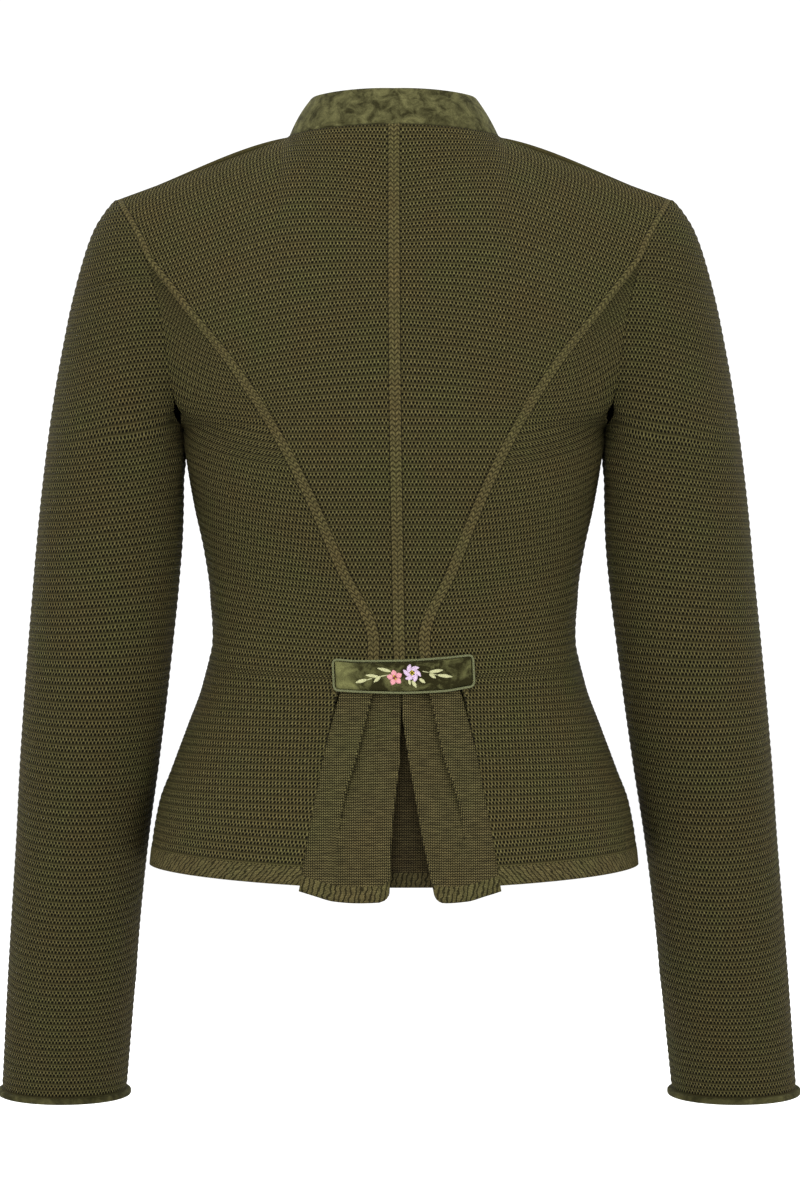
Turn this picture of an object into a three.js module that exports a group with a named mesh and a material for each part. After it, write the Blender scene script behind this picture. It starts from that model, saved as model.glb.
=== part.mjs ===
// A women's trachten cardigan in olive knit: a close, waisted body with princess seams at the back, a stand
// collar, long set-in sleeves, and a small velvet tab over a fan of pleats at the back waist. It keeps the
// hollow form that it has when worn. Millimetres, +Z up, the front faces -Y and the wearer's left is +X.
// The origin lies between the shoulders at the level of the neck base.
import * as THREE from "three";

// Driving dimensions
const WALL = 2.5; // ridged knit
const JERSEY = 1.2; // fine knit of the pleats
const SEAM_GAP = 0.3; // clearance between two pieces that are sewn together
const BAND = 4.7; // flat stitch column on each side of a seam
const BAND_STEP = 0.7; // width of the step from a band down to the knit
const BAND_RAISE = 0.6; // height of the bands and of the hem over the knit
const HEM_BAND = 12; // depth of the ribbed hem
const COLLAR_WALL = 2.6;
const OVERLAP = 12; // how far each front passes the centre
const OVERLAP_LIFT = 4.6; // the right front lies on the left one
const CUFF_HEIGHT = 4.2;
const CUFF_DEPTH = 4.0;
const CUFF_GAP = 0.4; // the sleeve's end is a little uneven
const COLLAR_GAP = 1.1;
const COLLAR_INSET = 0.6; // the collar stands just inside the neck edge
const ARMHOLE_GAP = 0.6;
const BUTTON_COUNT = 7;
const BUTTON_RADIUS = 7.5;
const BUTTON_HEIGHT = 3.6;
const BUTTON_ROWS = { low: -494, high: -113 };

const HEM = -519; // centre back
const HEM_SIDE_RISE = 13; // the hem is this much higher at the side seams
const UNDERARM = -203;
const BLADE = -130; // widest level of the shoulder blades
const NECK_BACK = 7; // level of the back neck
const PRINCESS_TOP = -61; // row at which the princess seam meets the armhole
const POINT_ROWS = [-66, -63]; // close rows in the upper point of the side back panels
const LEDGE_ROWS = [-378, -372]; // the side back panels widen to the pleats between these rows
const CENTRE_END = -372; // lower end of the centre back panels, under the tab
const NECK = { halfWidth: 74, backDepth: 56, frontDepth: 74, sideY: 2, sideZ: 2, pitZ: -78 };
const SHOULDER_TIP = { x: 194, y: 0, z: -42 };
const PIT_ROW = -90; // row of the front that ends at the neck pit

// Body sections: half width, centre back, centre front and side seam at each height.
const BODY = [
  { z: -545, half: 173, back: 114, front: -118, seam: 0 },
  { z: -508, half: 171, back: 111, front: -118, seam: 0 },
  { z: -486, half: 168.5, back: 107, front: -117, seam: 0 },
  { z: -465, half: 164.5, back: 102, front: -115, seam: -1 },
  { z: -441, half: 156, back: 96, front: -111, seam: -2 },
  { z: -410, half: 144.5, back: 86, front: -104, seam: -3 },
  { z: -381, half: 134, back: 77, front: -99, seam: -5 },
  { z: -350, half: 128, back: 72, front: -97, seam: -5 },
  { z: -318, half: 128.8, back: 74, front: -100, seam: -5 },
  { z: -288, half: 133, back: 81, front: -108, seam: -5 },
  { z: -255, half: 140, back: 92, front: -122, seam: -3 },
  { z: -228, half: 144.5, back: 98, front: -131, seam: -1 },
  { z: -203, half: 147, back: 100, front: -130, seam: 0 },
  { z: -160, half: 147, back: 99.5, front: -115, seam: 0 },
  { z: -130, half: 147, back: 98, front: -101, seam: 0 },
  { z: -100, half: 147, back: 92.5, front: -86, seam: 0 },
  { z: -78, half: 147, back: 88, front: -72, seam: 0 },
];

// Armhole seam: row of the body, height, and the back and front points.
const ARMHOLE = [
  { row: -203, z: -203, backX: 147, backY: 0, frontX: 147, frontY: 0 },
  { row: -186, z: -199, backX: 148.8, backY: 19, frontX: 146.6, frontY: -20 },
  { row: -166, z: -189, backX: 151.2, backY: 36, frontX: 146.4, frontY: -39 },
  { row: -134, z: -160, backX: 156, backY: 50, frontX: 148, frontY: -56 },
  { row: -99, z: -125, backX: 161.7, backY: 53.5, frontX: 152, frontY: -61 },
  { row: -82, z: -108, backX: 165, backY: 50.5, frontX: 156, frontY: -58 },
  { row: -50, z: -77, backX: 175, backY: 41, frontX: 167.5, frontY: -46 },
  { row: -29, z: -60, backX: 184, backY: 29, frontX: 179, frontY: -32 },
  { row: -10, z: -48, backX: 191, backY: 14, frontX: 189, frontY: -15 },
  { row: 7, z: -42, backX: 194, backY: 0, frontX: 194, frontY: 0 },
];

// Handles of each row's curve, as shares of its reach from the centre to the side.
const ROW_CURVE = [
  { row: -203, x1: 0.6, y1: 0, x2: 1, y2: 0.4 },
  { row: -134, x1: 0.55, y1: 0.02, x2: 0.82, y2: 0.5 },
  { row: -90, x1: 0.45, y1: 0.08, x2: 0.76, y2: 0.58 },
  { row: 7, x1: 0.33, y1: 0.33, x2: 0.67, y2: 0.67 },
];

// Inner edge of the side back panel: princess seam, the ledge under the tab, and the edge of the pleats.
const PRINCESS = [
  { z: -545, x: 72 },
  { z: -511, x: 67.5 },
  { z: -477, x: 61.6 },
  { z: -450, x: 56.8 },
  { z: -420, x: 51 },
  { z: -400, x: 46.6 },
  { z: -378, x: 41 },
  { z: -372, x: 19 },
  { z: -350, x: 17.5 },
  { z: -301, x: 38 },
  { z: -245, x: 62 },
  { z: -196, x: 88 },
  { z: -157.5, x: 113.5 },
  { z: -125, x: 140 },
  { z: -103, x: 157.5 },
  { z: -80, x: 176 },
];

// The rows of the side back panel climb towards the side seam.
const SIDE_ROWS = [
  { inner: -519, outer: -519 },
  { inner: -390, outer: -384 },
  { inner: -350, outer: -336 },
  { inner: -300, outer: -276 },
  { inner: -232, outer: -203 },
  { inner: -150, outer: -112 },
  { inner: -100, outer: -76 },
  { inner: -61, outer: -61 },
];

// The centre back line and what is sewn on it drift towards the wearer's right.
const DRIFT = [
  { z: -545, x: -5 },
  { z: -390, x: -5 },
  { z: -350, x: -3.5 },
  { z: -60, x: 0 },
  { z: 10, x: 0 },
];

// How the back's surface arrives at the neck and shoulder seam, by share of that line.
const ARRIVE = [
  { s: 0, x: 0, y: -58, z: 122 },
  { s: 0.21, x: 0, y: -95, z: 68 },
  { s: 0.42, x: 0, y: -125, z: 34 },
  { s: 1, x: 14, y: -112, z: 66 },
];

// Sleeve rows: height at the seam and at the outside, reach, axis, half depth, squareness of the section
// on the body's side (2 is an ellipse) and tilt in degrees.
const SLEEVE = [
  { edge: -40, outer: -42, out: 195.5, axisY: 0, depth: 8, square: 2, tilt: 0 },
  { edge: -48, outer: -50, out: 202, axisY: 0, depth: 21, square: 2, tilt: 0 },
  { edge: -60, outer: -63, out: 210, axisY: 0, depth: 31, square: 2, tilt: 0 },
  { edge: -77, outer: -82, out: 217, axisY: 0, depth: 42, square: 2, tilt: 0 },
  { edge: -108, outer: -116, out: 226, axisY: -1, depth: 52, square: 2, tilt: 0 },
  { edge: -125, outer: -135, out: 230, axisY: -2, depth: 55, square: 2.1, tilt: 0 },
  { edge: -160, outer: -173, out: 237, axisY: -3, depth: 56, square: 2.4, tilt: 0 },
  { edge: -203, outer: -217, out: 243.3, axisY: -3, depth: 55, square: 2.8, tilt: 0 },
  { edge: -247, outer: -260, out: 248.2, axisY: -3, depth: 53.5, square: 2.4, tilt: 0 },
  { edge: -310, outer: -318, out: 253.6, axisY: -4, depth: 51, square: 2.1, tilt: 1 },
  { edge: -350, outer: -354, out: 257, axisY: -5, depth: 50, square: 2, tilt: 3 },
  { edge: -392, outer: -392, out: 260.5, axisY: -9, depth: 49, square: 2, tilt: 7 },
  { edge: -440, outer: -440, out: 264.6, axisY: -18, depth: 48, square: 2, tilt: 11 },
  { edge: -491, outer: -491, out: 268.4, axisY: -31, depth: 46.5, square: 2, tilt: 14 },
  { edge: -542, outer: -542, out: 272.8, axisY: -43, depth: 45, square: 2, tilt: 15 },
  { edge: -594, outer: -594, out: 277.3, axisY: -57, depth: 43, square: 2, tilt: 14 },
  { edge: -645, outer: -645, out: 281.4, axisY: -73, depth: 41, square: 2, tilt: 9 },
  { edge: -675, outer: -675, out: 283.8, axisY: -82, depth: 40, square: 2, tilt: 6 },
];

// Body side of the sleeve below the underarm.
const SLEEVE_INSIDE = [
  { z: -675, x: 195.1 },
  { z: -645, x: 191.9 },
  { z: -594, x: 186.6 },
  { z: -542, x: 181.3 },
  { z: -491, x: 174.9 },
  { z: -440, x: 167 },
  { z: -392, x: 160.2 },
  { z: -350, x: 155 },
  { z: -310, x: 150.5 },
  { z: -275, x: 147.8 },
  { z: -247, x: 147.2 },
  { z: -203, x: 147.6 },
];
const SLEEVE_END = -671;
const SLEEVE_SPREAD = 3.6; // the right arm hangs this much further out at the cuff, the left one less

// Rows of the solids
const ROWS = [
  -519, -507, -506.3, -488, -469, -450, -431, -412, -394, -378, -372, -354, -335, -316, -297, -278, -259,
  -240, -221, -203, -194, -184, -170, -152, -134, -116, -98, -82, -71, -61, -44, -27, -10, 6.7,
];
const CENTRE_COLUMNS = 10; // between the bands
const SHOULDER_COLUMN = 5; // the one that ends where the neck meets the shoulder seam
const SIDE_COLUMNS = 5;
const FRONT_COLUMNS = 8;
const SLEEVE_COLUMNS = 24; // the cuffs have as many
const SLEEVE_RINGS = 13; // below the underarm

// Stand collar: how far its top leans in and rises above the neck base, by turn from the centre back.
const COLLAR_LEAN = [
  { turn: 0, in: 12, up: 26.5 },
  { turn: 1, in: 17, up: 28 },
  { turn: 2, in: 6, up: 25 },
];
const COLLAR_COLUMNS = 30;
const COLLAR_END = 1.955; // turn of the front end
const COLLAR_HEIGHTS = [0, 0.45, 0.93, 1];
const COLLAR_BOW = 1.2;
const COLLAR_RIM = 0.55; // thickness left at the rounded top edge, as a share

// Tab: its ends and its edges, from the wearer's left to right
const TAB = [
  { x: 43.9, top: -364.3, bottom: -383.4 },
  { x: 28, top: -365.5, bottom: -384.4 },
  { x: 0, top: -365.2, bottom: -385.1 },
  { x: -28, top: -363.5, bottom: -384.0 },
  { x: -49.4, top: -361.3, bottom: -380.6 },
];
const TAB_LIFT = 1.2;
const TAB_THICKNESS = 2.4;
const TAB_CROWN = 0.9;
const TAB_COLUMNS = 12;
const PIPING_RADIUS = 0.8;

// Folds of the pleats by height, on the wearer's left (L) and right (R): x of the outer edge, of the outer
// fold and of the opening's fold, and how far the fan has opened.
const PLEATS = [
  { z: -379, edgeL: 40, outerL: 18, innerL: 1, innerR: -1, outerR: -18, edgeR: -40, open: 0 },
  { z: -390, edgeL: 43, outerL: 21, innerL: 0.9, innerR: -0.9, outerR: -21, edgeR: -43, open: 0.1 },
  { z: -430, edgeL: 53, outerL: 31, innerL: 1.4, innerR: -5.5, outerR: -30, edgeR: -53, open: 0.4 },
  { z: -454, edgeL: 57.5, outerL: 38, innerL: 4, innerR: -9.5, outerR: -38, edgeR: -57.5, open: 0.6 },
  { z: -481, edgeL: 62.3, outerL: 43, innerL: 6.5, innerR: -14, outerR: -43.5, edgeR: -62.3, open: 0.8 },
  { z: -525, edgeL: 69.5, outerL: 48, innerL: 8.5, innerR: -23, outerR: -48, edgeR: -69.5, open: 1 },
];
const PLEAT_ROWS = 9;
const PLEAT_LAYER = 1.8; // spacing of the folded layers
const PLEAT_UNDER = { outer: 9, inner: 13 }; // cloth that returns behind each fold
const PLEAT_LIFT = { outer: 1.8, inner: 2.6, sag: -2.2 }; // at the hem
const PLEAT_END = { fold: -522, underlay: -513 };

const COLOURS = {
  knit: 0x4a4529, velvet: 0x5e6040, piping: 0x87895a, jersey: 0x4c4628, button: 0x3b3a26,
};

const material = (colour, roughness = 0.9, metalness = 0) =>
  new THREE.MeshStandardMaterial({ color: colour, roughness, metalness });
const mix = (a, b, t) => a + (b - a) * t;
const clamp = (v, low, high) => Math.min(high, Math.max(low, v));
const smooth = (a, b, v) => {
  const t = clamp((v - a) / (b - a), 0, 1);
  return t * t * (3 - 2 * t);
};
const vec = (x, y, z) => new THREE.Vector3(x, y, z);
const radians = THREE.MathUtils.degToRad;

// A smooth value from a table: cubic between its rows, with slopes that never overshoot.
function look(table, key, column, at) {
  const rising = table[0][key] < table[table.length - 1][key] ? table : [...table].reverse();
  const last = rising.length - 1;
  let i = 0;
  while (i < last - 1 && at > rising[i + 1][key]) i++;
  const slope = (k) => {
    const step = (n) => (rising[n + 1][column] - rising[n][column]) / (rising[n + 1][key] - rising[n][key]);
    if (k === 0) return step(0);
    if (k === last) return step(last - 1);
    const before = step(k - 1);
    const after = step(k);
    return before * after <= 0 ? 0 : (2 * before * after) / (before + after);
  };
  const span = rising[i + 1][key] - rising[i][key];
  const t = clamp((at - rising[i][key]) / span, 0, 1);
  const a = rising[i][column];
  const b = rising[i + 1][column];
  const [ma, mb] = [slope(i) * span, slope(i + 1) * span];
  return (
    (2 * t ** 3 - 3 * t ** 2 + 1) * a + (t ** 3 - 2 * t ** 2 + t) * ma +
    (3 * t ** 2 - 2 * t ** 3) * b + (t ** 3 - t ** 2) * mb
  );
}

const bezier = (p, t) =>
  vec(0, 0, 0)
    .addScaledVector(p[0], (1 - t) ** 3)
    .addScaledVector(p[1], 3 * t * (1 - t) ** 2)
    .addScaledVector(p[2], 3 * t ** 2 * (1 - t))
    .addScaledVector(p[3], t ** 3);

const armhole = (row, face) =>
  vec(
    look(ARMHOLE, "row", face + "X", row),
    look(ARMHOLE, "row", face + "Y", row),
    look(ARMHOLE, "row", "z", row),
  );

// Neck base on one side: turn 0 is the centre back, 1 the shoulder seam, 2 the centre front.
function neckPoint(turn) {
  const a = turn * Math.PI * 0.5;
  const x = NECK.halfWidth * Math.sin(a);
  if (turn <= 1)
    return vec(x, NECK.sideY + NECK.backDepth * Math.cos(a), mix(NECK_BACK, NECK.sideZ, Math.sin(a) ** 2));
  const forward = -Math.cos(a);
  return vec(x, NECK.sideY - NECK.frontDepth * forward, mix(NECK.sideZ, NECK.pitZ, forward ** 1.1));
}

// Curve of one row from a start point to an end point, with its handles from the table.
function rowCurve(start, end, row) {
  const share = (column) => look(ROW_CURVE, "row", column, Math.max(row, ROW_CURVE[0].row));
  const reach = end.clone().sub(start);
  return [
    start,
    vec(start.x + reach.x * share("x1"), start.y + reach.y * share("y1"), start.z + reach.z * 0.15),
    vec(start.x + reach.x * share("x2"), start.y + reach.y * share("y2"), start.z + reach.z * 0.72),
    end,
  ];
}

const sideSeam = (row) => {
  const z = row + HEM_SIDE_RISE * (1 - smooth(HEM, -430, row));
  return vec(look(BODY, "z", "half", z), look(BODY, "z", "seam", z), z);
};

function lowRow(face, row) {
  const centre = vec(0, look(BODY, "z", face, row), row);
  return rowCurve(centre, row <= UNDERARM ? sideSeam(row) : armhole(row, face), row);
}

// Back neck and shoulder seam as one line: s 0 is the centre back, 1 the shoulder tip.
const NECK_SHARE = 0.42;
function backTop(s) {
  if (s <= NECK_SHARE) return neckPoint(s / NECK_SHARE);
  const tip = vec(SHOULDER_TIP.x, SHOULDER_TIP.y, SHOULDER_TIP.z);
  return neckPoint(1).lerp(tip, (s - NECK_SHARE) / (1 - NECK_SHARE));
}

// The back's surface: s runs from the centre back to the side seam or armhole, row from the hem up.
function backPoint(s, row) {
  if (row <= BLADE) return bezier(lowRow("back", row), s);
  const span = NECK_BACK - BLADE;
  const v = (row - BLADE) / span;
  const column = (t) => {
    const start = bezier(lowRow("back", BLADE), t);
    const before = bezier(lowRow("back", BLADE - 4), t);
    const rise = start.clone().sub(before).multiplyScalar(span / 4);
    const arrive = vec(...["x", "y", "z"].map((axis) => look(ARRIVE, "s", axis, t)));
    return vec(0, 0, 0)
      .addScaledVector(start, 2 * v ** 3 - 3 * v ** 2 + 1)
      .addScaledVector(rise, v ** 3 - 2 * v ** 2 + v)
      .addScaledVector(backTop(t), 3 * v ** 2 - 2 * v ** 3)
      .addScaledVector(arrive, v ** 3 - v ** 2);
  };
  const miss = armhole(row, "back").sub(column(1));
  return column(s).addScaledVector(miss, s ** 3);
}

// The front's surface: s runs from the centre front, or from the neck above its pit, to the side.
function frontPoint(s, row) {
  if (row <= UNDERARM) return bezier(lowRow("front", row), s);
  const end = armhole(row, "front");
  if (row <= PIT_ROW) {
    const z = mix(UNDERARM, NECK.pitZ, (row - UNDERARM) / (PIT_ROW - UNDERARM));
    return bezier(rowCurve(vec(0, look(BODY, "z", "front", z), z), end, row), s);
  }
  const start = neckPoint(2 - (row - PIT_ROW) / (NECK_BACK - PIT_ROW));
  return bezier(rowCurve(start, end, row), s);
}

// Outward normal of a surface at (s, row).
function normalAt(surface, s, row) {
  const [ds, dr] = [0.01, 1.5];
  const across = surface(Math.min(s + ds, 1), row).sub(surface(Math.max(s - ds, 0), row));
  const up = surface(s, Math.min(row + dr, NECK_BACK)).sub(surface(s, Math.max(row - dr, -540)));
  const n = across.cross(up).normalize();
  if ((surface === backPoint) === n.y < 0) n.negate();
  if (s < 1e-6) n.x = 0;
  // the two walls of the shoulder seam meet on one plane
  const onShoulder = surface === backPoint ? smooth(NECK_SHARE - 0.1, NECK_SHARE, s) : 1;
  const ridge = smooth(-20, NECK_BACK, row) * onShoulder;
  const along = backTop(1).sub(backTop(NECK_SHARE)).normalize();
  const top = vec(-along.z, 0, along.x).normalize();
  if (row > -20) n.lerp(top, ridge);
  return n.normalize();
}

const xShare = (row, x) => {
  let [low, high] = [0, 1];
  for (let i = 0; i < 26; i++) {
    const mid = (low + high) / 2;
    if (backPoint(mid, row).x < x) low = mid;
    else high = mid;
  }
  return (low + high) / 2;
};

// Share and row of the back's surface that lie at x and z.
function backPlace(x, z) {
  let row = z;
  let s = 0;
  for (let i = 0; i < 6; i++) {
    s = xShare(row, Math.abs(x));
    row += z - backPoint(s, row).z;
  }
  return { s, row };
}

// A point on the back at x and z, moved out by lift.
function onBack(x, z, lift) {
  const { s, row } = backPlace(x, z);
  const p = backPoint(s, row).addScaledVector(normalAt(backPoint, s, row), lift);
  return vec(x < 0 ? -p.x : p.x, p.y, p.z);
}

// The place of a point on the wearer's left (side 1) or right (side -1), with the centre line's drift.
function placed(p, side, drifts) {
  const half = look(BODY, "z", "half", clamp(p.z, -545, UNDERARM));
  const fade = clamp(1 - (p.x / half) ** 2, 0, 1);
  return vec(side * p.x + (drifts ? look(DRIFT, "z", "x", clamp(p.z, -545, 10)) * fade : 0), p.y, p.z);
}

// A closed shape from its points and triangles, turned so that its faces look outward.
function shape(points, faces) {
  let volume = 0;
  for (const [a, b, c] of faces) volume += points[a].dot(points[b].clone().cross(points[c]));
  const order = volume < 0 ? faces.map(([a, b, c]) => [a, c, b]) : faces;
  const places = new Float32Array(points.flatMap((p) => [p.x, p.y, p.z]));
  const geometry = new THREE.BufferGeometry();
  geometry.setAttribute("position", new THREE.BufferAttribute(places, 3));
  geometry.setIndex(order.flat());
  geometry.computeVertexNormals();
  return geometry;
}

// A closed solid from an outer and an inner grid of points. Where ring(row) holds, the first and last columns
// of that row are one line, and there is no wall between them.
function wall(outer, inner, ring = () => false) {
  const [rows, columns] = [outer.length, outer[0].length];
  const points = [];
  const index = new Map();
  const id = (skin, i, j) => {
    const column = ring(i) && j === columns - 1 ? 0 : j;
    const key = [skin, i, column].join();
    if (!index.has(key)) {
      index.set(key, points.length);
      points.push((skin ? inner : outer)[i][column]);
    }
    return index.get(key);
  };
  const faces = [];
  const quad = (a, b, c, d) => {
    if (a !== b && b !== c && a !== c) faces.push([a, b, c]);
    if (a !== c && c !== d && a !== d) faces.push([a, c, d]);
  };
  for (let i = 0; i < rows - 1; i++) {
    for (let j = 0; j < columns - 1; j++) {
      quad(id(0, i, j), id(0, i, j + 1), id(0, i + 1, j + 1), id(0, i + 1, j));
      quad(id(1, i, j), id(1, i + 1, j), id(1, i + 1, j + 1), id(1, i, j + 1));
    }
    if (!(ring(i) && ring(i + 1))) {
      const end = columns - 1;
      quad(id(0, i, 0), id(0, i + 1, 0), id(1, i + 1, 0), id(1, i, 0));
      quad(id(0, i, end), id(1, i, end), id(1, i + 1, end), id(0, i + 1, end));
    }
  }
  for (let j = 0; j < columns - 1; j++) {
    const top = rows - 1;
    quad(id(0, 0, j), id(1, 0, j), id(1, 0, j + 1), id(0, 0, j + 1));
    quad(id(0, top, j), id(0, top, j + 1), id(1, top, j + 1), id(1, top, j));
  }
  return shape(points, faces);
}

const group = new THREE.Group();
function add(name, geometry, surfaceLook) {
  const mesh = new THREE.Mesh(geometry, surfaceLook);
  mesh.name = name;
  group.add(mesh);
}

// Columns across a row of the given length, each with its distance and raise. A band runs along the start
// and, where bandEnd holds, along the end. A marked distance gets a column of its own.
function columnsAcross(length, count, bandEnd, mark) {
  const start = SEAM_GAP / 2;
  const end = length - SEAM_GAP / 2;
  const band = Math.min(BAND, length * 0.32);
  const low = band + BAND_STEP;
  const high = bandEnd ? length - band - BAND_STEP : end;
  const list = [{ at: start, raise: BAND_RAISE }, { at: band, raise: BAND_RAISE }];
  const even = mix(low, high, SHOULDER_COLUMN / count);
  const shift = mark ? (mark.at - even) * mark.weight : 0;
  for (let i = 0; i <= count; i++) {
    const pull = i <= SHOULDER_COLUMN ? i / SHOULDER_COLUMN : (count - i) / (count - SHOULDER_COLUMN);
    list.push({ at: mix(low, high, i / count) + shift * pull, raise: 0 });
  }
  if (bandEnd) list.push({ at: length - band, raise: BAND_RAISE }, { at: end, raise: BAND_RAISE });
  return list;
}

// Outer and inner points of a panel. path(row, q) gives the surface's { s, row } at q 0 to 1 across it.
function panelGrid({ rows, surface, path, columns, bandEnd, lift = () => 0, marked = false }) {
  const outer = [];
  const inner = [];
  const STEPS = 50;
  for (const row of rows) {
    const places = Array.from({ length: STEPS + 1 }, (_, i) => path(row, i / STEPS));
    const points = places.map((p) => surface(Math.abs(p.s), p.row).multiply(vec(p.s < 0 ? -1 : 1, 1, 1)));
    const run = [0];
    for (let i = 1; i <= STEPS; i++) run.push(run[i - 1] + points[i].distanceTo(points[i - 1]));
    const length = run[STEPS];
    const hem = row <= HEM + HEM_BAND && rows[0] === HEM;
    const mark = marked && row > BLADE
      ? { at: run[Math.round(NECK_SHARE * STEPS)], weight: smooth(BLADE, NECK_BACK, row) }
      : null;
    const [outerRow, innerRow] = [[], []];
    for (const { at, raise } of columnsAcross(length, columns, bandEnd, mark)) {
      let i = 1;
      while (i < STEPS && run[i] < at) i++;
      const q = (i - 1 + clamp((at - run[i - 1]) / (run[i] - run[i - 1]), 0, 1)) / STEPS;
      const place = path(row, q);
      const flip = vec(place.s < 0 ? -1 : 1, 1, 1);
      const p = surface(Math.abs(place.s), place.row).multiply(flip);
      const n = normalAt(surface, Math.abs(place.s), place.row).multiply(flip);
      const out = lift(p);
      outerRow.push(p.clone().addScaledVector(n, (hem ? BAND_RAISE : raise) + out));
      innerRow.push(p.clone().addScaledVector(n, out - WALL));
    }
    outer.push(outerRow);
    inner.push(innerRow);
  }
  return { outer, inner };
}

function addPair(names, grids, surfaceLook, drifts) {
  [1, -1].forEach((side, k) => {
    const [outer, inner] = [grids.outer, grids.inner].map((skin) =>
      skin.map((row) => row.map((p) => placed(p, side, drifts))),
    );
    add(names[k], wall(outer, inner), surfaceLook);
  });
}

const princessShare = (row) => {
  let z = row;
  let s = 0;
  for (let i = 0; i < 5; i++) {
    s = xShare(row, look(PRINCESS, "z", "x", z));
    z = backPoint(s, row).z;
  }
  return s;
};

// Row of the side back panel at the side seam, and the row of the body where it meets the princess seam.
const innerRow = (row) => look(SIDE_ROWS, "outer", "inner", row);
function sideRows() {
  const ledge = LEDGE_ROWS.map((row) => look(SIDE_ROWS, "inner", "outer", row));
  const plain = ROWS.filter((row) => row < PRINCESS_TOP && !LEDGE_ROWS.includes(row));
  return [...plain, ...ledge, ...POINT_ROWS].sort((a, b) => a - b);
}

function centreBack() {
  const shared = sideRows().map(innerRow).filter((row) => row > CENTRE_END - 0.5);
  const rows = [...shared, ...ROWS.filter((row) => row >= PRINCESS_TOP)];
  const edge = new Map(rows.map((row) => [row, row >= PRINCESS_TOP ? 1 : princessShare(row)]));
  const path = (row, q) => ({ s: q * edge.get(row), row });
  const grids = panelGrid({
    rows, surface: backPoint, path, columns: CENTRE_COLUMNS, bandEnd: true, marked: true,
  });
  addPair(["back_centre_left", "back_centre_right"], grids, material(COLOURS.knit), true);
}

function sideBack() {
  const rows = sideRows();
  const edge = new Map(rows.map((row) => [row, princessShare(innerRow(row))]));
  const path = (row, q) => ({
    s: mix(edge.get(row), 1, q),
    row: mix(innerRow(row), row, q ** 1.3),
  });
  const grids = panelGrid({ rows, surface: backPoint, path, columns: SIDE_COLUMNS });
  addPair(["back_side_left", "back_side_right"], grids, material(COLOURS.knit), true);
}

function fronts() {
  const pastCentre = (row) => {
    if (row > PIT_ROW) return 0;
    let s = 0;
    while (frontPoint(s, row).x < OVERLAP) s += 0.002;
    return -s;
  };
  const edge = new Map(ROWS.map((row) => [row, pastCentre(row)]));
  const path = (row, q) => ({ s: mix(edge.get(row), 1, q), row });
  [1, -1].forEach((side) => {
    const over = (p) => (side < 0 ? OVERLAP_LIFT * smooth(42, OVERLAP, p.x) : 0);
    const grids = panelGrid({ rows: ROWS, surface: frontPoint, path, columns: FRONT_COLUMNS, lift: over });
    const [outer, inner] = [grids.outer, grids.inner].map((skin) =>
      skin.map((row) => row.map((p) => placed(p, side, false))),
    );
    add(side > 0 ? "front_left" : "front_right", wall(outer, inner), material(COLOURS.knit));
  });
}

// One sleeve row: angle 0 points away from the body, the row runs from the back seam to the front seam.
function sleeveRow(edgeZ, backEnd, frontEnd) {
  const read = (column) => look(SLEEVE, "edge", column, edgeZ);
  const outerZ = read("outer");
  const inside = edgeZ > UNDERARM ? null : look(SLEEVE_INSIDE, "z", "x", edgeZ);
  const out = read("out");
  const axisY = read("axisY");
  const depth = read("depth");
  const tilt = Math.tan(radians(read("tilt")));
  const power = 2 / read("square");
  const sideOf = (end) => {
    if (inside !== null) return { half: (out - inside) / 2, b: depth, stop: Math.PI };
    // a section that leaves the seam at its own depth and reaches the outside
    const rise = Math.abs(end.y - axisY);
    const b = Math.max(depth, rise + 0.5);
    const past = edgeZ < -100; // below this height the seam lies past the section's deepest point
    const sine = (rise / b) ** (past ? 1 / power : 1);
    const cosine = Math.sqrt(1 - sine ** 2);
    if (!past) return { half: (out - end.x) / (1 - cosine), b, stop: Math.acos(cosine) };
    return { half: (out - end.x) / (1 + cosine ** power), b, stop: Math.PI - Math.acos(cosine) };
  };
  const point = (t) => {
    const front = t > 0.5;
    const end = front ? frontEnd : backEnd;
    const shape = sideOf(end);
    // near the seam the points draw together, so that rows above and below the underarm line up
    const around = Math.abs(1 - 2 * t);
    const missing = Math.PI - shape.stop;
    const angle = Math.PI * around - missing * around ** clamp(2.4 / Math.max(missing, 0.1), 1, 4);
    const inner = angle > Math.PI / 2;
    const [sine, cosine] = [Math.max(Math.sin(angle), 0), Math.cos(angle)];
    const y = axisY + shape.b * (inner ? sine ** power : sine) * (front ? -1 : 1);
    const x = out - shape.half + shape.half * (inner ? -(Math.abs(cosine) ** power) : cosine);
    const climb = smooth(0.25, 1, angle / shape.stop);
    return vec(x, y, mix(outerZ, edgeZ, climb) - (y - axisY) * tilt);
  };
  return point;
}

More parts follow.
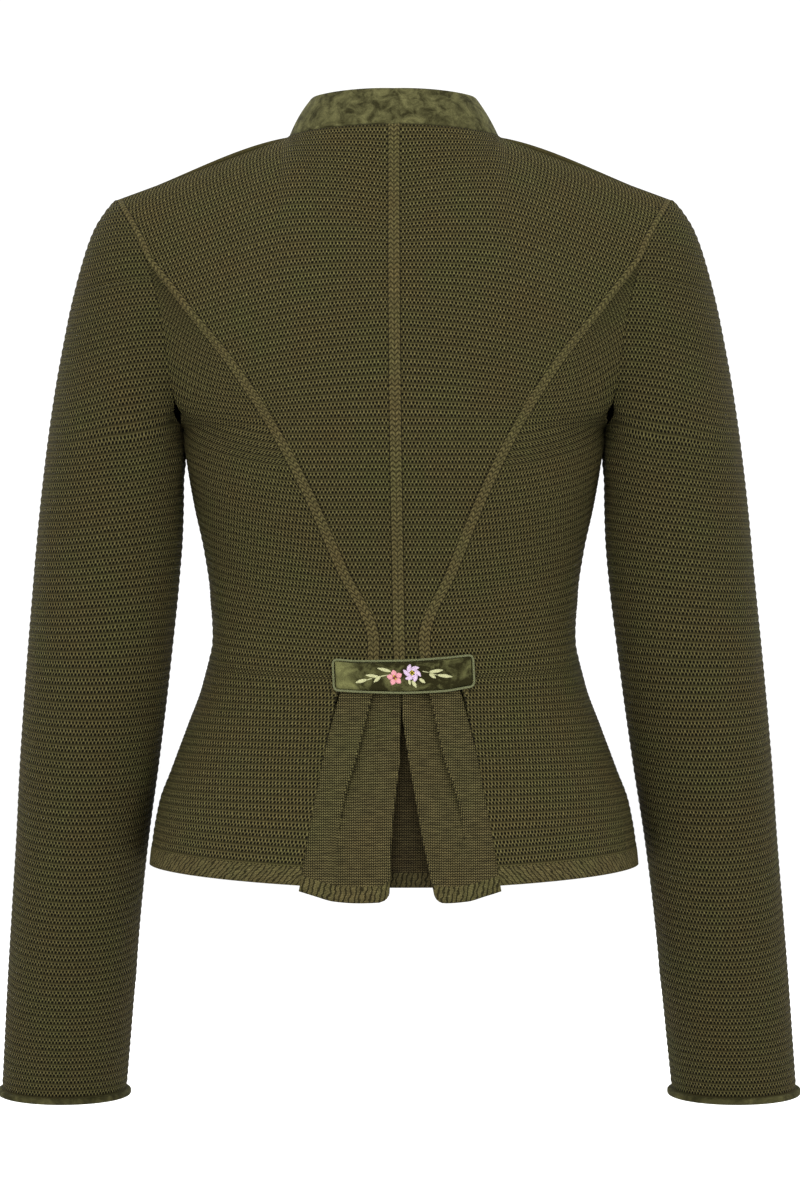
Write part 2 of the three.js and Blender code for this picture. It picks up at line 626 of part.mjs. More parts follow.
function sleeves() {
  const capRows = ROWS.filter((row) => row >= UNDERARM);
  const outer = [];
  const below = SLEEVE_RINGS;
  for (let i = 0; i < below; i++) {
    const point = sleeveRow(mix(SLEEVE_END, UNDERARM, i / below));
    outer.push(Array.from({ length: SLEEVE_COLUMNS + 1 }, (_, j) => point(j / SLEEVE_COLUMNS)));
  }
  for (const row of capRows) {
    const [back, front] = ["back", "front"].map((face) => armhole(row, face).add(vec(ARMHOLE_GAP, 0, 0)));
    if (row === capRows[capRows.length - 1]) {
      back.y += 2;
      front.y -= 2;
    }
    const point = sleeveRow(back.z, back, front);
    outer.push(Array.from({ length: SLEEVE_COLUMNS + 1 }, (_, j) => point(j / SLEEVE_COLUMNS)));
  }
  const ring = (i) => i <= below;
  const inner = outer.map((row, i) =>
    row.map((p, j) => {
      const end = SLEEVE_COLUMNS;
      const wrap = ring(i);
      const left = row[j === 0 ? (wrap ? end - 1 : 0) : j - 1];
      const right = row[j === end ? (wrap ? 1 : end) : j + 1];
      const up = outer[Math.min(i + 1, outer.length - 1)][j].clone().sub(outer[Math.max(i - 1, 0)][j]);
      if (wrap && (j === 0 || j === end)) up.set(0, 0, 1);
      const n = up.cross(right.clone().sub(left)).normalize();
      if (i > below && (j === 0 || j === end)) {
        const surface = j === 0 ? backPoint : frontPoint;
        n.lerp(normalAt(surface, 1, capRows[i - below]), smooth(-134, PRINCESS_TOP, capRows[i - below]));
      }
      return p.clone().addScaledVector(n.normalize(), -WALL);
    }),
  );
  [1, -1].forEach((side) => {
    const hang = (p) => {
      const spread = SLEEVE_SPREAD * clamp((-300 - p.z) / 370, 0, 1) * -side;
      return vec(side * (p.x + spread), p.y, p.z);
    };
    const [a, b] = [outer, inner].map((skin) => skin.map((row) => row.map(hang)));
    add(side > 0 ? "sleeve_left" : "sleeve_right", wall(a, b, ring), material(COLOURS.knit));
    cuff(side, hang);
  });
}

// Velvet binding round the sleeve's end: a rounded section swept along the last ring.
function cuff(side, hang) {
  const SECTION = 6;
  const edge = sleeveRow(SLEEVE_END);
  const outer = [];
  const inner = [];
  for (let i = 0; i < SLEEVE_COLUMNS; i++) {
    const t = i / SLEEVE_COLUMNS;
    const p = edge(t);
    const n = edge((t + 0.01) % 1).sub(edge((t + 0.99) % 1)).cross(vec(0, 0, 1)).normalize();
    const middle = p.clone().addScaledVector(n, -WALL / 2).add(vec(0, 0, -CUFF_HEIGHT / 2 - CUFF_GAP));
    const section = Array.from({ length: SECTION + 1 }, (_, k) => {
      const a = (k / SECTION) * Math.PI * 2 + Math.PI / SECTION;
      const round = (v) => Math.sign(v) * Math.abs(v) ** 0.75;
      return hang(middle.clone()
        .addScaledVector(n, (CUFF_DEPTH / 2) * round(Math.cos(a)))
        .add(vec(0, 0, (CUFF_HEIGHT / 2) * round(Math.sin(a)))));
    });
    outer.push(section.slice(0, SECTION / 2 + 1));
    inner.push([section[SECTION], ...section.slice(SECTION / 2, SECTION).reverse()]);
  }
  add(side > 0 ? "cuff_left" : "cuff_right", loopOf(outer, inner), material(COLOURS.velvet));
}

// A closed ring from two half sections that share their ends.
function loopOf(outer, inner) {
  const sections = outer.map((half, i) => [...half, ...inner[i].slice(1, -1).reverse()]);
  return ringOfSections(sections);
}

// A closed ring whose sections are closed loops of points.
function ringOfSections(sections) {
  const [count, size] = [sections.length, sections[0].length];
  const points = sections.flat();
  const faces = [];
  for (let i = 0; i < count; i++)
    for (let k = 0; k < size; k++) {
      const [a, b] = [i * size + k, i * size + ((k + 1) % size)];
      const [c, d] = [((i + 1) % count) * size + ((k + 1) % size), ((i + 1) % count) * size + k];
      faces.push([a, b, c], [a, c, d]);
    }
  return shape(points, faces);
}

// Stand collar: it follows the neck base and leans in above it.
function collar() {
  const outer = COLLAR_HEIGHTS.map(() => []);
  const inner = COLLAR_HEIGHTS.map(() => []);
  for (let j = 0; j <= COLLAR_COLUMNS; j++) {
    const t = mix(-COLLAR_END, COLLAR_END, j / COLLAR_COLUMNS);
    const turn = Math.abs(t);
    const side = t < 0 ? -1 : 1;
    const base = neckPoint(turn);
    const inward = vec(-base.x, -(base.y - NECK.sideY), 0).normalize();
    const lean = look(COLLAR_LEAN, "turn", "in", turn);
    const up = look(COLLAR_LEAN, "turn", "up", turn);
    const rise = inward.clone().multiplyScalar(lean).add(vec(0, 0, up));
    const n = inward.clone().multiplyScalar(-up).add(vec(0, 0, lean)).normalize();
    const flip = (q) => vec(side * q.x, q.y, q.z);
    COLLAR_HEIGHTS.forEach((v, i) => {
      const bow = COLLAR_BOW * Math.sin(Math.PI * v);
      const thin = v === 1 ? COLLAR_RIM : 1;
      const foot = base.clone().addScaledVector(inward, COLLAR_INSET).add(vec(0, 0, COLLAR_GAP));
      const p = foot.addScaledVector(rise, v).addScaledVector(n, bow);
      const trim = (1 - thin) * COLLAR_WALL * 0.5;
      outer[i].push(flip(p.clone().addScaledVector(n, -trim)));
      inner[i].push(flip(p.clone().addScaledVector(n, trim - COLLAR_WALL)));
    });
  }
  add("collar", wall(outer, inner), material(COLOURS.velvet));
}

// Velvet tab over the top of the pleats, with its piping
const tabPlace = (u) => ({
  x: mix(TAB[0].x, TAB[TAB.length - 1].x, u),
  top: look(TAB, "x", "top", mix(TAB[0].x, TAB[TAB.length - 1].x, u)),
  bottom: look(TAB, "x", "bottom", mix(TAB[0].x, TAB[TAB.length - 1].x, u)),
});
function tab() {
  const [outer, inner] = [[], []];
  const HEIGHTS = [0, 0.12, 0.5, 0.88, 1];
  for (const v of HEIGHTS) {
    const [outerRow, innerRow] = [[], []];
    for (let j = 0; j <= TAB_COLUMNS; j++) {
      const u = j / TAB_COLUMNS;
      const { x, top, bottom } = tabPlace(u);
      const z = mix(bottom, top, v);
      const crown = TAB_CROWN * Math.min(1, 6 * u, 6 * (1 - u)) * Math.sin(Math.PI * v);
      outerRow.push(placedOnBack(x, z, TAB_LIFT + TAB_THICKNESS + crown));
      innerRow.push(placedOnBack(x, z, TAB_LIFT));
    }
    outer.push(outerRow);
    inner.push(innerRow);
  }
  add("tab", wall(outer, inner), material(COLOURS.velvet));
  piping();
}

// Points of the tab and pleats ride on the drifting centre line.
function placedOnBack(x, z, lift) {
  const p = onBack(x, z, lift);
  return placed(vec(Math.abs(p.x), p.y, p.z), p.x < 0 ? -1 : 1, true);
}

function piping() {
  const PER_LONG_SIDE = 14;
  const PER_END = 3;
  const SIDES = 6;
  const clear = PIPING_RADIUS + SEAM_GAP;
  const corner = 0.7; // shares of that by which the long sides and the ends run past the tab's ends
  const end = 1.2;
  const corners = [];
  for (let j = 0; j <= PER_LONG_SIDE; j++) {
    const { x, top } = tabPlace(j / PER_LONG_SIDE);
    corners.push([x + clear * mix(corner, -corner, j / PER_LONG_SIDE), top + clear]);
  }
  for (let k = 1; k <= PER_END; k++) {
    const { x, top, bottom } = tabPlace(1);
    corners.push([x - clear * end, mix(top, bottom, k / (PER_END + 1))]);
  }
  for (let j = PER_LONG_SIDE; j >= 0; j--) {
    const { x, bottom } = tabPlace(j / PER_LONG_SIDE);
    corners.push([x + clear * mix(corner, -corner, j / PER_LONG_SIDE), bottom - clear]);
  }
  for (let k = 1; k <= PER_END; k++) {
    const { x, top, bottom } = tabPlace(0);
    corners.push([x + clear * end, mix(bottom, top, k / (PER_END + 1))]);
  }
  const middle = TAB_LIFT + PIPING_RADIUS + 0.1;
  const line = corners.map(([x, z]) => placedOnBack(x, z, middle));
  const raised = corners.map(([x, z]) => placedOnBack(x, z, middle + 1));
  const sections = line.map((p, i) => {
    const [before, after] = [-1, 1].map((k) => line[(i + k + line.length) % line.length]);
    const along = after.clone().sub(before).normalize();
    const out = raised[i].clone().sub(p).normalize();
    const across = along.cross(out).normalize();
    return Array.from({ length: SIDES }, (_, k) => {
      const a = (k / SIDES) * Math.PI * 2;
      return p.clone()
        .addScaledVector(out, PIPING_RADIUS * Math.cos(a))
        .addScaledVector(across, PIPING_RADIUS * Math.sin(a));
    });
  });
  add("tab_piping", ringOfSections(sections), material(COLOURS.piping));
}

// Middle line of the pleated jersey at one height, from the wearer's left edge to the right one.
// Each point is [x, lift]; every fold is a small round turn, and the cloth lies in layers behind it.
function pleatLine(z) {
  const read = (column) => look(PLEATS, "z", column, z);
  const open = read("open");
  const face = -JERSEY / 2;
  const turn = PLEAT_LAYER / 2;
  const down = (turns) => face - turn * turns;
  const half = (side) => {
    const edge = Math.abs(read("edge" + side));
    const outer = Math.abs(read("outer" + side));
    const inner = read("inner" + side) * (side === "L" ? 1 : -1);
    const top = face + PLEAT_LIFT.outer * open; // outer fold
    const rim = mix(down(2), face + PLEAT_LIFT.inner * open, open); // fold at the opening
    const deep = face + PLEAT_LIFT.sag * open;
    const fold = (x, lift, out) => [
      [x + turn * out, lift], [x + turn * 0.3, lift - turn * 0.3], [x, lift - turn],
      [x + turn * 0.3, lift - turn * 1.7],
    ];
    const turnBack = (x, turns) => [[x - turn, down(turns)], [x, down(turns + 1)]];
    const [backOuter, backInner] = [outer + PLEAT_UNDER.outer, inner + PLEAT_UNDER.inner];
    return [
      [edge - 0.5, face],
      [mix(edge, outer, 0.5), face + 0.5 * open],
      ...fold(outer, top, 1.4),
      [outer + turn * 1.4, top - turn * 2],
      ...turnBack(backOuter, 2.1),
      [backOuter - turn, down(4.1)],
      [outer - 1, down(4)],
      [mix(outer, inner, 0.45), down(3.2 * (1 - open * 0.6))],
      ...fold(inner, rim, 3),
      [inner + turn * 3, rim - turn * 2.1],
      ...turnBack(backInner, 6.2),
      [backInner - turn, down(8.2) + deep * 0.2],
      [mix(backInner, 0, 0.6), down(8.6) + deep * 0.5],
    ];
  };
  const left = half("L");
  const right = half("R").map(([x, lift]) => [-x, lift]).reverse();
  return [...left, ...right];
}

function pleats() {
  const [outer, inner] = [[], []];
  const UNDERLAY_FROM = 16; // number of the line's first point behind the opening
  for (let i = 0; i <= PLEAT_ROWS; i++) {
    const v = i / PLEAT_ROWS;
    const [outerRow, innerRow] = [[], []];
    const points = pleatLine(mix(PLEATS[0].z, PLEAT_END.fold, v));
    points.forEach(([x, lift], k) => {
      const deep = k >= UNDERLAY_FROM && k < points.length - UNDERLAY_FROM;
      const z = mix(PLEATS[0].z, deep ? PLEAT_END.underlay : PLEAT_END.fold, v);
      const [ax, al] = points[Math.max(k - 1, 0)];
      const [bx, bl] = points[Math.min(k + 1, points.length - 1)];
      const length = Math.hypot(bx - ax, bl - al);
      const [nx, nl] = [-(bl - al) / length, (bx - ax) / length];
      outerRow.push(placedOnBack(x - (nx * JERSEY) / 2, z, lift - (nl * JERSEY) / 2));
      innerRow.push(placedOnBack(x + (nx * JERSEY) / 2, z, lift + (nl * JERSEY) / 2));
    });
    outer.push(outerRow);
    inner.push(innerRow);
  }
  add("pleats", wall(outer, inner), material(COLOURS.jersey));
}

// Plain domed buttons down the right front
function buttons() {
  const profile = [
    [0, 0], [BUTTON_RADIUS * 0.8, 0], [BUTTON_RADIUS, BUTTON_HEIGHT * 0.4],
    [BUTTON_RADIUS * 0.75, BUTTON_HEIGHT * 0.85], [0, BUTTON_HEIGHT],
  ].map(([r, y]) => new THREE.Vector2(r, y));
  for (let i = 0; i < BUTTON_COUNT; i++) {
    const row = mix(BUTTON_ROWS.low, BUTTON_ROWS.high, i / (BUTTON_COUNT - 1));
    const p = frontPoint(0, row);
    const n = normalAt(frontPoint, 0, row);
    const geometry = new THREE.LatheGeometry(profile, 12);
    geometry.applyQuaternion(new THREE.Quaternion().setFromUnitVectors(vec(0, 1, 0), n));
    geometry.translate(...p.addScaledVector(n, OVERLAP_LIFT + SEAM_GAP).toArray());
    add("button_" + (BUTTON_COUNT - i), geometry, material(COLOURS.button, 0.5, 0.2));
  }
}

centreBack();
sideBack();
fronts();
sleeves();
collar();
tab();
pleats();
buttons();

export default group;
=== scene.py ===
# %% [markdown]
# # A trachten cardigan, seen from the back
# This lesson dresses a imported part: a waisted cardigan in a ridged knit, with a velvet stand collar, a
# small velvet tab and a fan of pleats at the back waist. The frame gives the part's plain solids. We load
# them first. Nothing that we add may make the cardigan bigger.

# %% Load the frame
import math

import bpy
import numpy as np
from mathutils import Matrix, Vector


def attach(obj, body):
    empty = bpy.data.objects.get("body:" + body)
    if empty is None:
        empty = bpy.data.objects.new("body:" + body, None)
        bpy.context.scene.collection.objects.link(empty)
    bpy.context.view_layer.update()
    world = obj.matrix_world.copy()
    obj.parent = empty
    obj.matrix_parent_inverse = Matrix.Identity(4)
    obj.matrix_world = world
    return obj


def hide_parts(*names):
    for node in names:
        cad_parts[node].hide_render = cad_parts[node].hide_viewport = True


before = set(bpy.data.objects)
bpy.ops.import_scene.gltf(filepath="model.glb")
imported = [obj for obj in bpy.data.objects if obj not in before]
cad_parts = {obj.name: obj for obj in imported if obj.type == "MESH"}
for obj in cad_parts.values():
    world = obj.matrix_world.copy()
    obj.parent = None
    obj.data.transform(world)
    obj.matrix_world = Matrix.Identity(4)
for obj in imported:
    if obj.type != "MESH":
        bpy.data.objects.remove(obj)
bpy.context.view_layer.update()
MM = 0.001  # all tables below are in millimetres

# %% [markdown]
# ## The camera
# A photograph of clothing is taken from far away with a long lens, so that the garment isn't distorted.
# Ours stands four metres behind the cardigan, level with its middle. The lens follows from the picture's
# height: 840 mm of cloth and air fill the frame.

# %% Camera
CAMERA_AT = (-4.2, 4000.0, -322.0)
FRAME_HEIGHT = 840.0
SENSOR = 36.0
camera_data = bpy.data.cameras.new("camera")
camera_data.sensor_fit = "VERTICAL"
camera_data.sensor_height = SENSOR
camera_data.lens = SENSOR * CAMERA_AT[1] / FRAME_HEIGHT
camera = bpy.data.objects.new("camera", camera_data)
camera.location = [v * MM for v in CAMERA_AT]
camera.rotation_euler = (math.pi / 2, 0, math.pi)
bpy.context.scene.collection.objects.link(camera)
bpy.context.scene.camera = camera
print("lens:", round(camera_data.lens, 1), "mm")

# %% [markdown]
# ## Tables and smooth curves
# A pattern maker notes a garment's size at a few levels and draws smooth lines between them. We do the
# same: short tables, and one function that reads a smooth value from them without overshooting.

# %% Reading a table
def table(names, *rows):
    """Rows of numbers as named columns, sorted by the first one."""
    return dict(zip(names.split(), np.array(sorted(rows), float).T))


def look(tab, column, at):
    """A smooth value from a table: cubic between its rows, with slopes that never overshoot."""
    keys, values = next(iter(tab.values())), tab[column]
    step = np.diff(values) / np.diff(keys)
    product, total = step[:-1] * step[1:], step[:-1] + step[1:]
    inside = np.where(product > 0, 2 * product / np.where(product > 0, total, 1), 0)
    slope = np.concatenate([step[:1], inside, step[-1:]])
    at = np.clip(at, keys[0], keys[-1])
    i = np.clip(np.searchsorted(keys, at, side="left") - 1, 0, len(keys) - 2)
    span = keys[i + 1] - keys[i]
    t = (at - keys[i]) / span
    return (
        (2 * t**3 - 3 * t**2 + 1) * values[i] + (t**3 - 2 * t**2 + t) * slope[i] * span
        + (3 * t**2 - 2 * t**3) * values[i + 1] + (t**3 - t**2) * slope[i + 1] * span
    )


def smooth(a, b, v):
    t = np.clip((v - a) / (b - a), 0, 1)
    return t * t * (3 - 2 * t)


def mix(a, b, t):
    return a + (b - a) * t


def point(x, y, z):
    return np.stack(np.broadcast_arrays(x, y, z), -1).astype(float)


def unit(v):
    return v / np.maximum(np.linalg.norm(v, axis=-1, keepdims=True), 1e-9)


def bezier(a, b, c, d, t):
    t = np.asarray(t, float)[..., None]
    return a * (1 - t) ** 3 + b * 3 * t * (1 - t) ** 2 + c * 3 * t**2 * (1 - t) + d * t**3


print("a value between two rows:", look(table("key value", (0, 0), (1, 2), (2, 3)), "value", 0.5))

# %% [markdown]
# ## The worn form
# These numbers are the part's own: half width, centre back, centre front and side seam at each height, the
# armhole, and the neck. The cloth is close fitting, so this form is what the body inside would give it.

# %% The body's tables
WALL = 2.5
SEAM_GAP = 0.3
HEM, HEM_SIDE_RISE, HEM_BAND = -519.0, 13.0, 12.0
UNDERARM, BLADE, NECK_BACK = -203.0, -130.0, 7.0
PRINCESS_TOP, PIT_ROW, CENTRE_END, TOP_ROW = -61.0, -90.0, -372.0, 6.7
NECK_SHARE = 0.42
NECK = dict(half=74.0, back=56.0, front=74.0, side_y=2.0, side_z=2.0, pit_z=-78.0)
SHOULDER_TIP = np.array([194.0, 0.0, -42.0])
BODY = table(
    "z half back front seam",
    (-545, 173, 114, -118, 0), (-508, 171, 111, -118, 0), (-486, 168.5, 107, -117, 0),
    (-465, 164.5, 102, -115, -1), (-441, 156, 96, -111, -2), (-410, 144.5, 86, -104, -3),
    (-381, 134, 77, -99, -5), (-350, 128, 72, -97, -5), (-318, 128.8, 74, -100, -5),
    (-288, 133, 81, -108, -5), (-255, 140, 92, -122, -3), (-228, 144.5, 98, -131, -1),
    (-203, 147, 100, -130, 0), (-160, 147, 99.5, -115, 0), (-130, 147, 98, -101, 0),
    (-100, 147, 92.5, -86, 0), (-78, 147, 88, -72, 0),
)
ARMHOLE = table(
    "row z back_x back_y front_x front_y",
    (-203, -203, 147, 0, 147, 0), (-186, -199, 148.8, 19, 146.6, -20),
    (-166, -189, 151.2, 36, 146.4, -39), (-134, -160, 156, 50, 148, -56),
    (-99, -125, 161.7, 53.5, 152, -61), (-82, -108, 165, 50.5, 156, -58),
    (-50, -77, 175, 41, 167.5, -46), (-29, -60, 184, 29, 179, -32),
    (-10, -48, 191, 14, 189, -15), (7, -42, 194, 0, 194, 0),
)
ROW_CURVE = table(
    "row x1 y1 x2 y2",
    (-203, 0.6, 0, 1, 0.4), (-134, 0.55, 0.02, 0.82, 0.5), (-90, 0.45, 0.08, 0.76, 0.58),
    (7, 0.33, 0.33, 0.67, 0.67),
)
PRINCESS = table(
    "z x",
    (-545, 72), (-511, 67.5), (-477, 61.6), (-450, 56.8), (-420, 51), (-400, 46.6), (-378, 41), (-372, 19),
    (-350, 17.5), (-301, 38), (-245, 62), (-196, 88), (-157.5, 113.5), (-125, 140), (-103, 157.5), (-80, 176),
)
SIDE_ROWS = table(
    "outer inner",
    (-519, -519), (-384, -390), (-336, -350), (-276, -300), (-203, -232), (-112, -150), (-76, -100),
    (-61, -61),
)
DRIFT = table("z x", (-545, -5), (-390, -5), (-350, -3.5), (-60, 0), (10, 0))
ARRIVE = table("s x y z", (0, 0, -58, 122), (0.21, 0, -95, 68), (0.42, 0, -125, 34), (1, 14, -112, 66))
print("body rows:", len(BODY["z"]), "waist:", 2 * look(BODY, "half", -350.0), "mm wide")

# %% [markdown]
# ## The surfaces of back and front
# Each surface takes s, which runs from the centre to the side, and a row, which runs from the hem up. The
# rows are also the rows of the knit, so a rib that follows a row follows the garment as real knitting does.

# %% Surfaces of the body
def armhole(row, face):
    return point(*(look(ARMHOLE, c, row) for c in (face + "_x", face + "_y", "z")))


def neck_point(turn):
    """Neck base on one side: turn 0 is the centre back, 1 the shoulder seam, 2 the centre front."""
    a = np.asarray(turn, float) * math.pi / 2
    x = NECK["half"] * np.sin(a)
    forward = np.maximum(-np.cos(a), 0)
    back_z = mix(NECK_BACK, NECK["side_z"], np.sin(a) ** 2)
    back = point(x, NECK["side_y"] + NECK["back"] * np.cos(a), back_z)
    front_z = mix(NECK["side_z"], NECK["pit_z"], forward**1.1)
    front = point(x, NECK["side_y"] - NECK["front"] * forward, front_z)
    return np.where((a <= math.pi / 2)[..., None], back, front)


def row_curve(start, end, row, s):
    x1, y1, x2, y2 = (look(ROW_CURVE, c, np.maximum(row, UNDERARM)) for c in ("x1", "y1", "x2", "y2"))
    reach = end - start
    return bezier(start, start + reach * point(x1, y1, 0.15), start + reach * point(x2, y2, 0.72), end, s)


def side_seam(row):
    z = row + HEM_SIDE_RISE * (1 - smooth(HEM, -430, row))
    return point(look(BODY, "half", z), look(BODY, "seam", z), z)


def low_row(face, s, row):
    centre = point(0, look(BODY, face, row), row)
    end = np.where((row <= UNDERARM)[..., None], side_seam(row), armhole(row, face))
    return row_curve(centre, end, row, s)


# %% The upper back
def back_top(s):
    """Back neck and shoulder seam as one line."""
    along = np.clip((s - NECK_SHARE) / (1 - NECK_SHARE), 0, 1)[..., None]
    shoulder = mix(neck_point(1.0), SHOULDER_TIP, along)
    return np.where((s <= NECK_SHARE)[..., None], neck_point(np.minimum(s / NECK_SHARE, 1)), shoulder)


def soft_top(s, v):
    """The top line with its corner at the neck rounded off, more so the further below it a row lies."""
    total = 0
    for share, weight in ((-1, 0.25), (0, 0.5), (1, 0.25)):
        at = s + share * 0.17 * (1 - v**4)
        p = back_top(np.where(at > 1, 2 - at, np.abs(at)))
        p = np.where((at < 0)[..., None], p * point(-1, 1, 1), p)
        total = total + np.where((at > 1)[..., None], 2 * SHOULDER_TIP - p, p) * weight
    return total


def upper_column(s, v):
    """Above the shoulder blades each column is one curve up to the neck or shoulder seam."""
    blade = np.full_like(s, BLADE)
    start = low_row("back", s, blade)
    rise = (start - low_row("back", s, blade - 4)) * (NECK_BACK - BLADE) / 4
    arrive = point(*(look(ARRIVE, c, s) for c in "xyz"))
    top = soft_top(s, v)
    v = v[..., None]
    return (
        start * (2 * v**3 - 3 * v**2 + 1) + rise * (v**3 - 2 * v**2 + v)
        + top * (3 * v**2 - 2 * v**3) + arrive * (v**3 - v**2)
    )


# %% Back, front and their normals
def back_point(s, row):
    s, row = np.broadcast_arrays(np.asarray(s, float), np.asarray(row, float))
    v = np.clip((row - BLADE) / (NECK_BACK - BLADE), 0, 1)
    miss = armhole(row, "back") - upper_column(np.ones_like(s), v)
    high = upper_column(s, v) + miss * (s**3)[..., None]
    return np.where((row <= BLADE)[..., None], low_row("back", s, row), high)


def front_point(s, row):
    s, row = np.broadcast_arrays(np.asarray(s, float), np.asarray(row, float))
    end = armhole(row, "front")
    z = mix(UNDERARM, NECK["pit_z"], (row - UNDERARM) / (PIT_ROW - UNDERARM))
    chest = row_curve(point(0, look(BODY, "front", z), z), end, row, s)
    turn = 2 - np.clip((row - PIT_ROW) / (NECK_BACK - PIT_ROW), 0, 1)
    high = row_curve(neck_point(turn), end, row, s)
    low = low_row("front", s, row)
    return np.where((row <= UNDERARM)[..., None], low, np.where((row <= PIT_ROW)[..., None], chest, high))


def normal_at(surface, s, row):
    """Outward normal. At the shoulder seam the walls of back and front meet on one plane."""
    ds, dr = 0.01, 1.5
    across = surface(np.minimum(s + ds, 1), row) - surface(np.maximum(s - ds, 0), row)
    up = surface(s, np.minimum(row + dr, NECK_BACK)) - surface(s, np.maximum(row - dr, -540))
    n = unit(np.cross(across, up))
    outward = 1 if surface is back_point else -1
    n = np.where((n[..., 1] * outward < 0)[..., None], -n, n)
    n[..., 0] = np.where(s < 1e-6, 0, n[..., 0])
    seam = unit(SHOULDER_TIP - neck_point(1.0))
    top = unit(np.array([-seam[2], 0, seam[0]]))
    share = smooth(NECK_SHARE - 0.1, NECK_SHARE, s) if surface is back_point else 1.0
    ridge = (smooth(-20, NECK_BACK, row) * share)[..., None]
    return unit(mix(n, top, ridge))


print("centre back of the waist:", back_point(0.0, -350.0).round(1))

# %% [markdown]
# ## Finding a place on the back
# The tab, the pleats and the flowers are sewn on, so each of their points starts from a point of the back
# and moves out along its normal. We look for the place by halving, which is simple and always ends.

# %% Places on the back
def x_share(row, x):
    low, high = np.zeros_like(x), np.ones_like(x)
    for _ in range(22):
        middle = (low + high) / 2
        left = back_point(middle, row)[..., 0] < x
        low, high = np.where(left, middle, low), np.where(left, high, middle)
    return (low + high) / 2


def placed(p, side, drifts=True):
    """A point on the wearer's left (side 1) or right (side -1), with the centre line's small drift."""
    half = look(BODY, "half", np.clip(p[..., 2], -545, UNDERARM))
    fade = np.clip(1 - (p[..., 0] / half) ** 2, 0, 1)
    drift = look(DRIFT, "x", np.clip(p[..., 2], -545, 10)) * fade if drifts else 0
    return point(side * p[..., 0] + drift, p[..., 1], p[..., 2])


def on_back(x, z, lift):
    """Points on the back at x and z, moved out by lift."""
    x, z, lift = (np.array(v, float) for v in np.broadcast_arrays(x, z, lift))
    row = z.copy()
    for _ in range(4):
        s = x_share(row, np.abs(x))
        row += z - back_point(s, row)[..., 2]
    p = back_point(s, row) + normal_at(back_point, s, row) * lift[..., None]
    side = np.where(x < 0, -1.0, 1.0)
    return placed(p, side)


def princess_share(row):
    z = row.copy()
    for _ in range(5):
        s = x_share(row, look(PRINCESS, "x", z))
        z = back_point(s, row)[..., 2]
    return s


def inner_row(row):
    """Row at the princess seam for a row of the side panel, which climbs towards the side seam."""
    return look(SIDE_ROWS, "inner", row)


print("a place under the tab:", on_back(20.0, -375.0, 1.2).round(1))

# %% [markdown]
# ## From grids to a closed cloth
# Cloth has two sides and cut edges. One function takes an outer grid of points and a coarser inner one,
# joins them round the edges and gives a closed mesh. Ribs and stitches only show outside, so the inner
# side needs a quarter of the rows. Its UV map counts stitches and rows, and the materials read it.

# %% Closed shells
def new_mesh(name, points, faces, uv, slots, materials):
    """A mesh object from points in mm, faces as arrays of corners, and each corner's UV and weld."""
    weld, uv_of = uv
    corners = np.concatenate([f.ravel() for f in faces])
    sizes = np.concatenate([np.full(len(f), f.shape[1]) for f in faces])
    starts = np.concatenate([[0], np.cumsum(sizes)[:-1]])
    volume = 0.0
    for f in faces:
        a = points[weld[f[:, 0]]]
        for k in range(1, f.shape[1] - 1):
            b, c = points[weld[f[:, k]]], points[weld[f[:, k + 1]]]
            volume += float(np.einsum("ij,ij->", a, np.cross(b, c)))
    if volume < 0:
        corners = np.concatenate([f[:, ::-1].ravel() for f in faces])
    used, vertex = np.unique(weld[corners], return_inverse=True)
    mesh = bpy.data.meshes.new(name)
    mesh.vertices.add(len(used))
    mesh.vertices.foreach_set("co", (points[used] * MM).ravel())
    mesh.loops.add(len(corners))
    mesh.loops.foreach_set("vertex_index", vertex.astype(np.int32))
    mesh.polygons.add(len(sizes))
    mesh.polygons.foreach_set("loop_start", starts.astype(np.int32))
    layer = mesh.uv_layers.new(name="stitches")
    slot_of_face = np.concatenate(slots)
    per_corner = np.repeat(slot_of_face, sizes)
    layer.uv.foreach_set("vector", uv_of[per_corner, corners].ravel())
    for material in materials:
        mesh.materials.append(material)
    mesh.polygons.foreach_set("material_index", slot_of_face.astype(np.int32))
    mesh.polygons.foreach_set("use_smooth", np.ones(len(sizes), bool))
    mesh.update(calc_edges=True)
    mesh.validate()
    piece = bpy.data.objects.new(name, mesh)
    bpy.context.scene.collection.objects.link(piece)
    return piece


